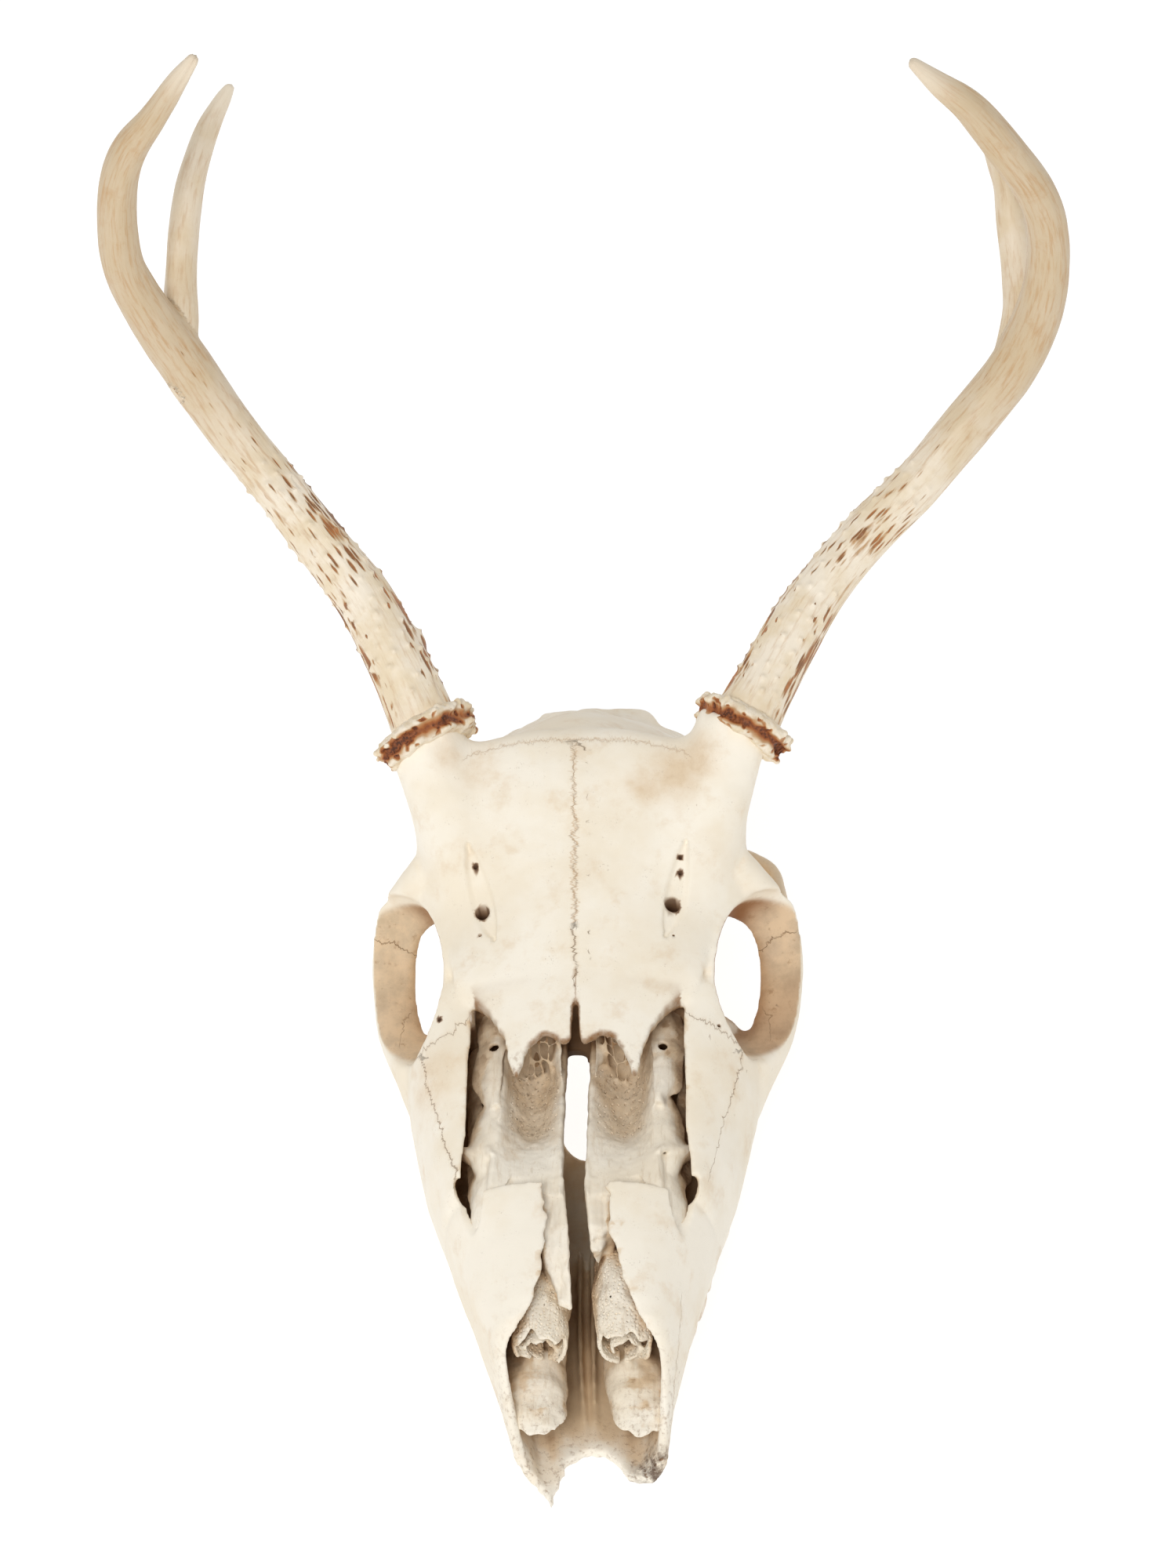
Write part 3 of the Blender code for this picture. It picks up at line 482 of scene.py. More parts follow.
def ragged(line, step, size, seed):
    """A line of x, y points with more points between them, each pushed aside a little."""
    line = np.array(line, float)
    length = np.concatenate(([0], np.cumsum(np.linalg.norm(np.diff(line, axis=0), axis=1))))
    places = np.arange(0, length[-1], step)
    found = np.column_stack([np.interp(places, length, line[:, i]) for i in (0, 1)])
    push = np.random.default_rng(seed).uniform(-size, size, found.shape)
    calm = fade(length[-1] - places, 0, 8) * fade(found[:, 0], 0.2, 1.5)
    return np.vstack([found + push * calm[:, None], line[-1]])


def slab(outline, low, high, sign=1):
    """A closed block with an outline in x, y, between two heights."""
    outline = np.array(outline, float) * (sign, 1)
    return loft([np.column_stack((outline, np.full(len(outline), z))) for z in (low, high)])


def frontal_shape():
    """The roof as one closed loft, thin in front and deep behind."""
    across = np.linspace(-1, 1, 81)
    rings = []
    for y, half, edge, middle in flow(FRONTAL, 6):
        flatness = np.interp(y, (38, 57), (2.2, 4.0))
        top = edge + (middle - edge) * (1 - abs(across) ** flatness)
        under = top - read(ROOF_DEPTH, y)
        inner = (half - 2.5) * across
        rings.append(np.vstack([np.column_stack((half * across, np.full(81, y), top)),
                                np.column_stack((inner, np.full(81, y), under))[::-1]]))
    return loft(rings)


def front_cuts():
    """What is missing in front of the frontals' broken edge, on either side."""
    return [slab([*ragged(FRONTAL_EDGE, 1.1, 0.4, 3 + sign), (40, -40), (-0.2, -40)], 30, 90, sign)
            for sign in (1, -1)]


print("broken edge:", len(ragged(FRONTAL_EDGE, 1.1, 0.4, 4)), "points on a side")

# %% [markdown]
# ## The eye sockets and the cheek arches
# A socket is a raised ring that faces outward, forward and up, with a wall 8 mm deep that can be looked
# along from above, so its inner side matters as much as its rim. The ring is a closed loft of tilted
# ovals. Behind it a thin bar, the cheek arch, runs back to the braincase.

# %% Sockets, arches and the bone between
# the rim's middle, its half axes along, upward and downward, and the way that the socket faces
ORBIT_MIDDLE = np.array((45.5, 31, 51))
ORBIT_ALONG = np.array((6, 21, 2.5))
ORBIT_TOP = np.array((-10, 3, 13.5))
ORBIT_LOW = np.array((-5.5, 2.5, 14))
ORBIT_OUT = np.array((0.84, -0.29, 0.456))
ORBIT_DEPTH = 11                # how deep the back edge of the wall lies
# how far inside the rim's line and how deep: once round the wall, and down its inner side for the cutter
ORBIT_PROFILE = [(-1.1, 0.3), (-1.4, 2), (-1.6, 5), (-1.5, 8), (-0.2, 11), (2.2, 11), (2.6, 9), (2.2, 6),
                 (1.3, 3), (0.1, 1.0), (-0.5, 0.2)]
ORBIT_INSIDE = [(-0.5, -16), (-0.5, 0), (0.1, 1.0), (1.3, 3), (2.2, 6), (2.6, 9), (2.8, 12.5), (2.8, 26)]
# centre, half thickness and half height along each arch; the left one bows out further behind
ARCH = {"left": [((50.5, 44, 40), 2.4, 5.5), ((50, 53, 38), 2.0, 4.6), ((48.8, 62, 37.5), 1.9, 4.4),
                 ((47.3, 69.5, 38), 2.1, 4.5), ((45, 75.5, 39.3), 2.7, 4.8), ((39.5, 78.5, 40), 4, 5.3),
                 ((30, 81.5, 41), 5, 6.5)],
        "right": [((50.5, 44, 40), 2.4, 5.5), ((50.5, 54, 37), 2.0, 4.5), ((49, 63, 36), 1.9, 4.2),
                  ((46.5, 70, 36), 2.1, 4.4), ((42.5, 76, 37), 2.9, 5), ((36, 80, 39), 4.5, 6),
                  ((27, 83, 41), 5, 7)]}
# the same for the bar of bone below the left socket
CHEEK = [((39.5, 6, 29), 3, 8), ((43.5, 16, 33), 3.4, 8), ((48.5, 28, 35), 3.2, 7), ((50.3, 40, 38), 3, 6),
         ((50.8, 48, 41), 2.6, 5)]
# y, half width, z below, z above: the bone between the sockets
CORE = [(18, 26, 36.5, 59), (25, 25.5, 36, 62), (31, 18, 30, 67), (40, 18, 23, 74), (50, 22, 21, 80),
        (62, 28, 24, 86)]
# x, y, z below, z above: the plate on either side of the throat
THROAT = [(11, 10, 0, 44), (11, 22, 2, 44), (11, 34, 4, 36), (10.5, 46, 8, 32), (10, 58, 14, 32)]


def orbit_ring(inset, depth):
    """A ring of the socket, drawn in from its rim by an inset, and pushed inward, where it narrows."""
    pinch = 1 - 0.24 * float(fade(depth, 3, ORBIT_DEPTH + 2))
    c, s = np.cos(turns(120))[:, None], np.sin(turns(120))[:, None]
    up_axis = np.where(s > 0, ORBIT_TOP, ORBIT_LOW)
    up_size = np.linalg.norm(up_axis, axis=1)[:, None]
    along_size = np.linalg.norm(ORBIT_ALONG)
    return (ORBIT_MIDDLE - ORBIT_OUT * depth + c * ORBIT_ALONG * (pinch - inset / along_size)
            + s * up_axis * (1 - inset / up_size))


def orbit_shape(profile, hoop=False):
    """A socket's rings as one shape: a ring with a lip, or the cutter for its inside."""
    return loft([orbit_ring(inset, deep) for inset, deep in profile], hoop)


def bar(rows, lean=0.3):
    """A flattened bar through rows of a centre, a half thickness and a half height."""
    rows = flow([(*centre, thick, tall) for centre, thick, tall in rows], 6)
    return loft([oval(row[:3], (row[3], lean * row[3], 0), (0, 0, row[4])) for row in rows])


def side_shapes():
    """One side's socket, cheek bar, the bar behind the socket and the swelling above its last cheek teeth."""
    swelling = loft([oval((34.5, y, 31), (w, 0, 0), (0, 0, h)) for y, w, h in
                     flow([(4, 3, 8), (9, 8, 15), (16, 10, 18), (23, 9, 15), (28, 5.5, 10), (30, 2, 4)], 4)])
    post = tube([((37, 52, 69), 10), ((42.5, 51, 62), 8.6), ((47, 50, 55.5), 7.4), ((50, 49, 46), 6)])
    return [orbit_shape(ORBIT_PROFILE, hoop=True), bar(CHEEK, 0), swelling, post]


def core_shapes():
    """The bone between the sockets and the plates that wall the rear of the nose."""
    core = loft([oval((0, y, (low + high) / 2), (half, 0, 0), (0, 0, (high - low) / 2), 48, 2.6)
                 for y, half, low, high in flow(CORE, 4)])
    throat = loft([oval((x, y, (low + high) / 2), (1.5, 0, 0), (0, 0, (high - low) / 2), 24, 3)
                   for x, y, low, high in flow(THROAT, 4)])
    rear_wall = slab([(8.6, 25), (27, 22), (28, 26), (9, 29.5)], 5, 50)
    rear_arch = tube([((-1.6 + 3.6 * math.cos(angle), 18, 36.8 + 3.6 * math.sin(angle)), 2)
                      for angle in np.radians(np.arange(-40, 221, 20))])
    return [core, rear_arch] + both([throat, rear_wall])


print("one side:", len(side_shapes()), "shapes, core:", len(core_shapes()))

# %% [markdown]
# ## The face
# Each side of the snout is one thin plate. It starts at its upper broken edge, bulges out over the roots
# of the cheek teeth, turns in at the gum and runs across the palate to the midline. So its cross-section
# is an open line, a quarter of an ellipse and two straight runs, given some thickness. A face bone is
# about 1.5 mm thick at its broken upper edge and 3 mm at the gum.

# %% Face plates
# y, half width, height of the widest place
SNOUT = [(-92, 15.5, 4), (-86, 17.5, 8), (-74, 20.4, 15), (-58, 25.4, 20), (-43, 30, 21), (-33, 33, 22),
         (-20, 37.5, 24), (-8, 40, 25), (4, 42.5, 28), (13, 44, 31), (20, 45, 34), (26, 36, 26)]
# y, x and z of the upper edge of the plate
FACE_EDGE = [(-97, 14, 1.5), (-90, 15, 3), (-86, 16.5, 9), (-80, 17.6, 18), (-74, 18, 27.5),
             (-70, 17.5, 34), (-68, 15.5, 38), (-66, 13, 41), (-62, 11, 43.5), (-57, 8.7, 45.5),
             (-48, 6.6, 48.5), (-34.2, 6, 52), (-33.4, 24, 47), (-31, 27.4, 46.5), (-26, 27.4, 48),
             (-18, 26.4, 50.5), (-10, 26, 53), (0, 26, 56.5), (13, 25.5, 60), (17, 26, 61.5), (21, 27, 62),
             (26, 27, 50)]
# centre and diameter of the slit in front of each socket
SLIT = [((24.3, -29, 46), 10), ((25.2, -37, 45), 7), ((26.2, -44, 43), 3.4)]
# x, y of the palate's broken front end, on the left and on the right
NOSE_EDGE = {1: [(0, -77), (3, -78), (6, -80.5), (8, -84), (12, -85), (17, -84.5), (30, -84)],
             -1: [(0, -77), (3, -78), (6, -80.5), (8.5, -86), (10.3, -92.5), (11.6, -89), (13.5, -86),
                  (17, -84), (30, -84)]}
# y, x on the inner and the outer side, z below and above: the bone round the roots of the teeth
TOOTH_ROOTS = [(-52, 10, 19, 0, 6), (-38, 12.5, 25, 0, 11), (-20, 17, 32, 0, 17), (-5, 19, 36, 0, 26),
               (10, 19, 38, 0, 38), (20, 18.5, 38, 0, 45), (26, 19.5, 33, 3, 42), (29, 22, 29, 10, 34)]
# y and x of the gum
GUM = [(-97, 13), (-86, 14), (-74, 15.5), (-58, 19), (-46, 22), (-30, 27.5), (-12, 32), (4, 34), (22, 32),
       (26, 29)]
HALF_GAP = 0.15                 # between each plate and the midline


def face_line(y, loss):
    """The cross-section of one side of the snout at y, which has lost some of its upper edge."""
    top = np.array((read(FACE_EDGE, y, 1), read(FACE_EDGE, y, 2)))
    wide = np.array((read(SNOUT, y, 1), read(SNOUT, y, 2)))
    gum = np.array((read(GUM, y, 1), 1.0))
    if top[1] < wide[1] + 4:
        wide[1] = min(wide[1], (top[1] + gum[1]) / 2 + 1)
    flat = 0.75 if y < -33.8 else 0.95
    angle = np.linspace(0, 1, 26) * math.pi / 2
    angle = np.maximum(angle, loss)
    upper = top + np.column_stack(((wide[0] - top[0]) * np.sin(angle) ** flat,
                                   (wide[1] - top[1]) * (1 - np.cos(angle) ** flat)))
    lower = wide + np.outer((0.2, 0.4, 0.6, 0.8, 1), gum - wide)
    return np.vstack([upper, lower, [(gum[0] - 5, 0.6), (gum[0] * 0.5, 1.6), (HALF_GAP, 1.2)]])


def face_plate(seed, reach=0.0):
    """One side's face plate on the left, as a closed loft of thick lines; reach draws it to the midline."""
    rings = []
    for y in np.arange(-93, 25.5, 0.75):
        broken = (0.03 + 0.03 * noise([(y, 0, 0)], 1.6, seed)[0]) * fade(-y, 30, 36)
        line = face_line(y, broken)
        line[:, 0] -= reach * fade(-y, 36, 46) * fade(y, -70, -62) * fade(line[:, 1], 34, 44)
        ahead = np.gradient(line, axis=0)
        ahead /= np.linalg.norm(ahead, axis=1)[:, None]
        inward = np.column_stack((ahead[:, 1], -ahead[:, 0]))
        thickness = np.interp(np.arange(len(line)), (0, 6, 20, 33), (1.5, 2.0, 2.8, 3.0))[:, None]
        outline = np.vstack([line, (line + inward * thickness)[::-1]])
        outline[:, 0] = np.maximum(outline[:, 0], HALF_GAP)
        rings.append(np.column_stack((outline[:, 0], np.full(len(outline), y), outline[:, 1])))
    return loft(rings)


def roots_shape():
    """The swollen bone that the roots of the cheek teeth fill."""
    return loft([oval(((near + far) / 2, y, (low + high) / 2), ((far - near) / 2, 0, 0),
                      (0, 0, (high - low) / 2), 40, 3.5)
                 for y, near, far, low, high in flow(TOOTH_ROOTS, 4)])


def keel_shapes():
    """The thin double keel on the floor of the nose."""
    rows = flow([(-20, 1.5, 7), (-50, 1.6, 5), (-66, 1.3, 3.4), (-78, 1.0, 2.2)], 6)
    return [loft([oval((sign * wide, y, 1.4 + tall / 2), (0.7, 0, 0), (0, 0, tall / 2 + 0.6), 16, 3)
                  for y, wide, tall in rows]) for sign in (1, -1)]


print("face line at y = -60 starts at", face_line(-60, 0)[0].round(1).tolist())

# %% [markdown]
# ## One skin over all of it
# Now the shapes are joined and a skin is drawn over them. The thin plates get theirs first, so that
# the sockets, the slits and the broken ends can be cut out of them while nothing else is in the way.
# The grain is half a millimetre, which keeps a plate of 1.5 mm and still makes a mesh that numpy can
# work through in a second.

# %% Draw and cut the skin
GRAIN = 0.55    # mm between the points of the bone's skin


def nose_cuts():
    """What is missing in front of the broken edge of the palate."""
    return [slab([*ragged(NOSE_EDGE[sign], 0.8, 0.5, 9 + sign), (30, -120), (0, -120)], -20, 60, sign)
            for sign in (1, -1)]


def join(thing, others):
    """Put the meshes of other objects into one, and remove them."""
    bm = bmesh.new()
    for part in [thing, *others]:
        bm.from_mesh(part.data)
    bm.to_mesh(thing.data)
    bm.free()
    for other in others:
        bpy.data.objects.remove(other)
    return thing


ROOF_GRAIN = 1.1                # the roof has no detail yet, so a coarse skin does


def roof_skin(openings):
    """The forehead with its stalks flowing into it, cut along the broken edge and at the sockets."""
    thing = skin(solid("roof", [frontal_shape()] + both([tube(PEDICLE)])), ROOF_GRAIN)
    points = points_of(thing)
    stalk_foot = fade(points[:, 2], 66, 72) * fade(abs(points[:, 0]), 12, 18) * fade(-points[:, 2], -99, -93)
    soften(thing, 36, 1 - stalk_foot)
    soften(thing, 3)
    return cut(thing, front_cuts() + openings)


def bone_skin():
    """The whole bone as one mesh in the skull's frame."""
    orbits = both([orbit_shape(ORBIT_INSIDE)])
    roof = roof_skin(orbits)
    plates = [face_plate(1), mirror(face_plate(2, 1.3))]
    faces = skin(solid("faces", both([roots_shape()]) + plates + keel_shapes()), GRAIN)
    notch = loft([oval((0, 22.5, z), (7.5, 0, 0), (0, 9.5, 0)) for z in (-20, 20)])
    cut(faces, orbits + both([tube(SLIT, 24, 4, True)]) + nose_cuts() + [notch])
    case = skin(solid("case", braincase_shapes()), GRAIN)
    spinal_hole = tube([((0, 98, 40), 12), ((0, 125, 36), 15)], 32, 2)
    cut(case, [spinal_hole, *both([tube([((30, 86, 35), 3), ((45, 88, 41), 3.6)])])])
    arches = [bar(ARCH["left"]), mirror(bar(ARCH["right"]))]
    sides = skin(solid("sides", both(side_shapes()) + arches), GRAIN)
    cut(sides, both([orbit_shape(ORBIT_INSIDE[:-1])]))
    return skin(join(solid("bone", core_shapes()), [roof, faces, case, sides]), GRAIN)


bone = bone_skin()
print("bone skin:", faces_of(bone), "triangles at a grain of", GRAIN, "mm")

# %% [markdown]
# ## Holes and hollows of the forehead
# Two canals open on the forehead above the eyes, each in a shallow lens-shaped trough with one or two
# pinholes behind it. The trough is only a dent, so its points are moved inward, deepest on its middle
# line. The canals and pinholes are cut after that, because the move would push their walls apart.

# %% Canals, pinholes and softening
# where it opens on the surface, diameter and depth
CANALS = [((22.9, 35.4, 73.2), 3.9, 7), ((-23.2, 34.3, 72.6), 3.8, 7), ((25, 44.2, 80.4), 0.8, 4),
          ((24.9, 41.4, 78.2), 0.9, 4), ((-24.8, 43.1, 79.4), 1.1, 4), ((-23.6, 28.6, 69.8), 0.9, 3),
          ((23.3, 27.9, 69.2), 0.7, 3), ((-33.5, 12, 58.5), 0.9, 3), ((34, 10, 56.5), 0.9, 3)]
CANAL_WAY = np.array((0, 0.25, -1.0))    # the way that canals and pinholes lead into the bone
# trough: its two ends and its half width
TROUGHS = [((-26.6, 46.5), (-20.2, 26.8), 3.0), ((26.4, 46.5), (21.6, 27.4), 2.8)]


def canal(place, diameter, depth):
    """A cutter that opens on the surface at a place and runs into the bone."""
    start = np.array(place, float)
    end = start + CANAL_WAY * depth
    return tube([(start - CANAL_WAY * 3, diameter), (start, diameter), (end, diameter * 0.8)], 20, 3)


def stiffness(points):
    """How little each point may be softened: thin and broken bone keeps its edges."""
    front = fade(-points[:, 1], -15, -7)
    socket = fade(abs(points[:, 0]), 33, 37) * fade(points[:, 1], 2, 8)
    return 0.8 * front * (1 - socket)


def crown_of_head(points):
    """How little each point may be softened where the forehead passes into the braincase."""
    x, y, z = points.T
    return 1 - fade(y, 58, 66) * fade(-y, -90, -80) * fade(z, 74, 82) * fade(-abs(x), -31, -24)


soften(bone, int(14 / GRAIN ** 2), crown_of_head(points_of(bone)))
soften(bone, int(4 / GRAIN ** 2), stiffness(points_of(bone)))
print("softened bone:", faces_of(bone), "triangles")


# %% [markdown]
# Softened bone looks like soap. So its points are pushed in and out a little: by noise in three sizes,
# by the troughs, by the groove of the midline seam, by scars where muscles held on behind, and by the
# roots of the cheek teeth, which swell the snout in a row.

# %% Dents, swellings and unevenness
def trough_depth(points, ends, half):
    """How far a trough pushes each point in, with a soft outer and a crisp inner edge."""
    start, end = (np.array(place, float) for place in ends)
    along = end - start
    t = np.clip((points[:, :2] - start) @ along / along.dot(along), 0, 1)
    aside = np.linalg.norm(points[:, :2] - start - t[:, None] * along, axis=1)
    width = half * np.sin(math.pi * np.clip(t, 0.03, 0.97)) ** 0.6
    return 1.2 * (1 - fade(aside / width, 0.5, 1.08)) * (points[:, 2] > 55)


def shape_bone(thing):
    """Move the points of the bone along their normals by all the small reliefs."""
    points, facing = points_of(thing), normals_of(thing)
    x, y, z = points.T
    push = 0.16 * noise(points, 9) + 0.07 * noise(points, 3, 1) + 0.03 * noise(points, 1.2, 2)
    for start, end, half in TROUGHS:
        push -= trough_depth(points, (start, end), half)
    roof = fade(facing[:, 2], 0.3, 0.7) * (y > -12)
    push -= roof * 0.07 * np.exp(-(x / 0.9) ** 2) * fade(y, 14, 24) * fade(66 - y, 0, 6)
    push += roof * 0.4 * np.exp(-((x / 9) ** 2)) * fade(y, 40, 55) * fade(66 - y, 0, 8)
    seam = 68.4 - 0.0025 * x ** 2
    push -= 0.06 * np.exp(-((y - seam) / 0.8) ** 2) * (abs(x) < 24) * (z > 80)
    stalk = fade(z, 84, 92) * fade(abs(x), 28, 34)
    push += stalk * 0.25 * noise(points * (1, 1, 0.5), 2.2, 5)
    scar = fade(y, 96, 104) * fade(z, 40, 46)
    push += scar * 0.5 * noise(points, 3.2, 6)
    root = fade(-y, -20, -14) * fade(y, -50, -46) * fade(22 - z, 0, 8) * fade(abs(x), 24, 30)
    push += root * 0.45 * np.cos(y * 2 * math.pi / 11.5)
    set_points(thing, points + facing * push[:, None])
    return push


relief = shape_bone(bone)
cut(bone, [canal(*row) for row in CANALS])
print("relief of the bone:", relief.min().round(2), "to", relief.max().round(2), "mm")

# %% [markdown]
# ## The scrolls inside the nose
# With the nasal bones gone, the thin scrolls of the nose lie open. On each side there is an upper shelf,
# hollowed like a dish under the forehead and drawn out into a grooved strip along the midline, with
# frayed sheets hanging between it and the cheek. In front of it a porous roll and a ridged plate end in a
# ragged edge. They are skins too, on a finer grain than the bone, because they are as thin as card.

# %% Shapes of the shelf
SCROLL_GRAIN = 0.42
SLOT = {1: 1.8, -1: 2.7}        # from the midline to the left and to the right scroll


def section(y, corners, per=5):
    """A closed ring at y through corners in x, z, with rounded turns."""
    corners = np.array(corners, float)
    found = np.array(curve(np.vstack([corners[-1:], corners, corners[:2]]), per))
    return np.column_stack((found[:, 0], np.full(len(found), y), found[:, 1]))


# y, underside, bottom of the dish, medial rim, lateral rim, x of the lateral rim
SHELF = [(17.5, 40, 46, 50, 52, 17.5), (8, 36, 41, 47.6, 50.5, 18.2), (-4, 35, 40.2, 46.8, 49.5, 18.6),
         (-12, 35.5, 42, 47, 49, 18.8), (-19, 36, 45.2, 47.6, 49, 19), (-27, 37, 47.2, 48, 49.6, 19.6),
         (-35.5, 38, 48.0, 48.4, 49.4, 20)]


def shelf_shape(gap):
    """The dished shelf as a loft of rounded sections."""
    rings = []
    for y, low, dish, near, far, wide in flow(SHELF, 6):
        rings.append(section(y, [(gap + 4, low), (gap + 0.6, near - 4), (gap + 0.7, near),
                                 (gap + 2.2, near - 0.8), (7.5, (dish * 2 + near) / 3), (11.5, dish),
                                 (15, (dish * 2 + far) / 3), (wide - 1, far - 0.4), (wide, far),
                                 (wide + 1.2, far - 2), (wide + 0.2, far - 8), (15, low)]))
    return loft(rings)


def fray(count, step, size, seed):
    """Random steps along an edge, in which most are small and a few are deep."""
    chance = np.random.default_rng(seed)
    steps = chance.uniform(0, 1, count) ** 3 * size
    return np.interp(np.arange(count), np.arange(0, count, step), steps[::step])


def hanging_sheet(rows, seed, fray_size, thickness=0.9):
    """A thin sheet between two edges, each row holding y and both edges' x, z, with a frayed far edge."""
    rows = flow(rows, 10)
    torn = fray(len(rows), 7, fray_size, seed)
    across = np.linspace(0, 1, 16)
    sheet = []
    for (y, x0, z0, x1, z1), loss in zip(rows, torn):
        t = across * max(1 - loss / max(abs(x1 - x0), 1.0), 0.15)
        bow = 1.3 * np.sin(math.pi * across)
        sheet.append(np.column_stack((x0 + (x1 - x0) * t, np.full(16, y), z0 + (z1 - z0) * t + bow)))
    sheet = np.array(sheet)
    sheet[:, :, 2] += 0.5 * noise(sheet.reshape(-1, 3), 3.5, seed).reshape(sheet.shape[:2])
    return plate(sheet, thickness)


# side sheets: y, x and z of the inner edge, x and z of the outer edge
CHEEK_SHEET = [(19, 17, 54, 25.0, 50.5), (12, 17.4, 53, 25.6, 50), (4, 17.8, 51.8, 25.8, 48.6),
               (-2, 18.2, 51, 25.6, 47.8), (-6, 18.6, 50.2, 23.4, 48), (-9, 18.8, 49.6, 20.8, 48.6)]
LOWER_FLAP = [(1, 18.6, 48.6, 19.8, 48), (-2, 18.8, 48.4, 23.0, 45.8), (-8, 19, 48.4, 24.8, 44.8),
              (-14, 19.2, 48.4, 26.2, 43.8), (-18, 19.4, 48.5, 27.2, 43), (-20.5, 19.5, 48.6, 26.6, 43.6),
              (-22.5, 19.7, 48.8, 23.4, 46.2), (-24, 19.8, 49, 20.6, 48.6)]
DEEP_SHEET = [(14, 24, 46, 28.5, 40), (4, 24, 43, 28.5, 37), (-10, 22.5, 42, 27, 36), (-20, 21, 42, 27, 36),
              (-27, 20.5, 46, 26.4, 39), (-36, 20.5, 46.4, 26, 39), (-44, 20, 45, 24.6, 38)]
HANGER = [(16, 3.4, 55, 6.4, 47.5), (9, 3.6, 53.5, 6.6, 46.5), (4, 3.8, 50.5, 5.4, 46.6),
          (0, 3.9, 48.4, 4.4, 47.6)]
# on the left and on the right: y of the strip's broken end, and how far it tapers towards it
STRIP_END = {1: -46.5, -1: -60.0}
STRIP_TAPER = {1: 3.0, -1: 12.0}
# -y and height of the strip's upper side
STRIP_TOP = [(30, 47.8), (44, 46.4), (51, 44.4), (57, 41.8), (61, 39.6)]


def strip_shape(seed, sign):
    """The grooved strip beside the slot, which is broken off earlier on one side."""
    end = STRIP_END[sign]
    rings = []
    for y in np.linspace(-30, end, 60):
        gap = SLOT[sign] + sign * float(fade(-y, 30, 46))
        torn = float(fade(-y, -end - STRIP_TAPER[sign], -end))
        high = float(np.interp(-y, *np.transpose(STRIP_TOP))) - 2 * torn
        low = 33 + 3 * torn
        wide = gap + (8.7 - gap) * (1 - 0.55 * torn) + 0.5 * torn * noise([(y, 0, 0)], 2.2, seed)[0]
        ring = section(y, [(gap + 2, low), (gap + 0.4, high - 3), (gap + 0.2, high), (gap + 1.2, high + 0.3),
                           (wide * 0.7, high - 0.5), (wide, high - 1.2), (wide, low + 3), (wide - 1, low)], 4)
        ring[:, 1] += torn * 2.2 * noise(ring * (1, 0, 1), 1.5, seed)
        rings.append(ring)
    return loft(rings)


def lattice(seed):
    """Thin struts of spongy bone that stand in the dish, under the forehead's broken edge."""
    chance = np.random.default_rng(seed)
    feet = np.array([(x, 7 + chance.uniform(-2, 2), 41) for x in (5.4, 7.4, 9.2, 11, 13)])
    tops = feet + np.column_stack((chance.uniform(-1.5, 1.5, 5), chance.uniform(-1, 3, 5), np.full(5, 18.0)))
    found = [tube([(foot, 1.3), ((foot + top) / 2, 0.8), (top, 1.3)]) for foot, top in zip(feet, tops)]
    for i in range(4):
        for share in (chance.uniform(0.3, 0.5), chance.uniform(0.6, 0.85)):
            ends = [feet[j] + (tops[j] - feet[j]) * (share + chance.uniform(-0.1, 0.1)) for j in (i, i + 1)]
            found.append(tube([(ends[0], 1.0), ((ends[0] + ends[1]) / 2, 0.75), (ends[1], 1.0)]))
    return found


def upper_scroll_shapes(seed, sign):
    """Everything of one side's upper scroll, on the left."""
    root_rows = [(19, -33, 43, 2.4), (22, -24, 44.3, 3.2), (24, -21, 44.3, 3), (27, -18, 43, 2.4)]
    roots = loft([oval((x, y, z), (3, 0, 0), (0, 0, tall)) for x, y, z, tall in flow(root_rows, 4)])
    return [shelf_shape(SLOT[sign]), strip_shape(seed, sign), hanging_sheet(CHEEK_SHEET, seed, 2.4),
            hanging_sheet(LOWER_FLAP, seed + 1, 3.2), hanging_sheet(DEEP_SHEET, seed + 2, 2.0, 1.0),
            hanging_sheet(HANGER, seed + 3, 0.8, 0.8), roots, *lattice(seed)]


# %% Shapes of the porous roll and the ridged plate
COLUMNS = 44                    # columns of points round a rolled sheet


def torn_end(seed, size):
    """How much shorter each column of a torn sheet is: splinters of different widths."""
    chance = np.random.default_rng(seed)
    step = 3
    knots = chance.uniform(0, 1, COLUMNS // step + 2) ** 1.6 * size
    splinters = np.interp(np.arange(COLUMNS), np.arange(len(knots)) * step, knots)
    return splinters + chance.uniform(0, 0.25, COLUMNS)


def rolled_sheet(rows, turn, seed, tear, thickness, shrink=0.0, tongue=0.0):
    """A sheet bent round an axis along y: rows of y, middle x, z, half width and height; torn in front."""
    rows = flow(rows, 12)
    angles = np.radians(np.linspace(*turn, COLUMNS))
    loss = torn_end(seed, tear) + tongue * abs(np.linspace(-1, 1, COLUMNS)) ** 2.2
    places = rows[:, 0]
    sheet = np.empty((len(rows), COLUMNS, 3))
    for column, (angle, less) in enumerate(zip(angles, loss)):
        y = places[0] + (places[-1] + less - places[0]) * np.linspace(0, 1, len(rows))
        middle_x, middle_z, half, tall = (np.interp(-y, -places, rows[:, i]) for i in (1, 2, 3, 4))
        size = 1 - shrink * column / COLUMNS
        sheet[:, column] = np.column_stack((middle_x + half * size * np.cos(angle), y,
                                            middle_z + tall * size * np.sin(angle)))
    bumps = 0.8 * noise(sheet.reshape(-1, 3), 3.4, seed) + 0.3 * noise(sheet.reshape(-1, 3), 1.5, seed + 1)
    sheet[:, :, 2] += bumps.reshape(sheet.shape[:2])
    sheet[:, :, 0] += 0.6 * noise(sheet.reshape(-1, 3), 3.4, seed + 2).reshape(sheet.shape[:2])
    return plate(sheet, thickness)


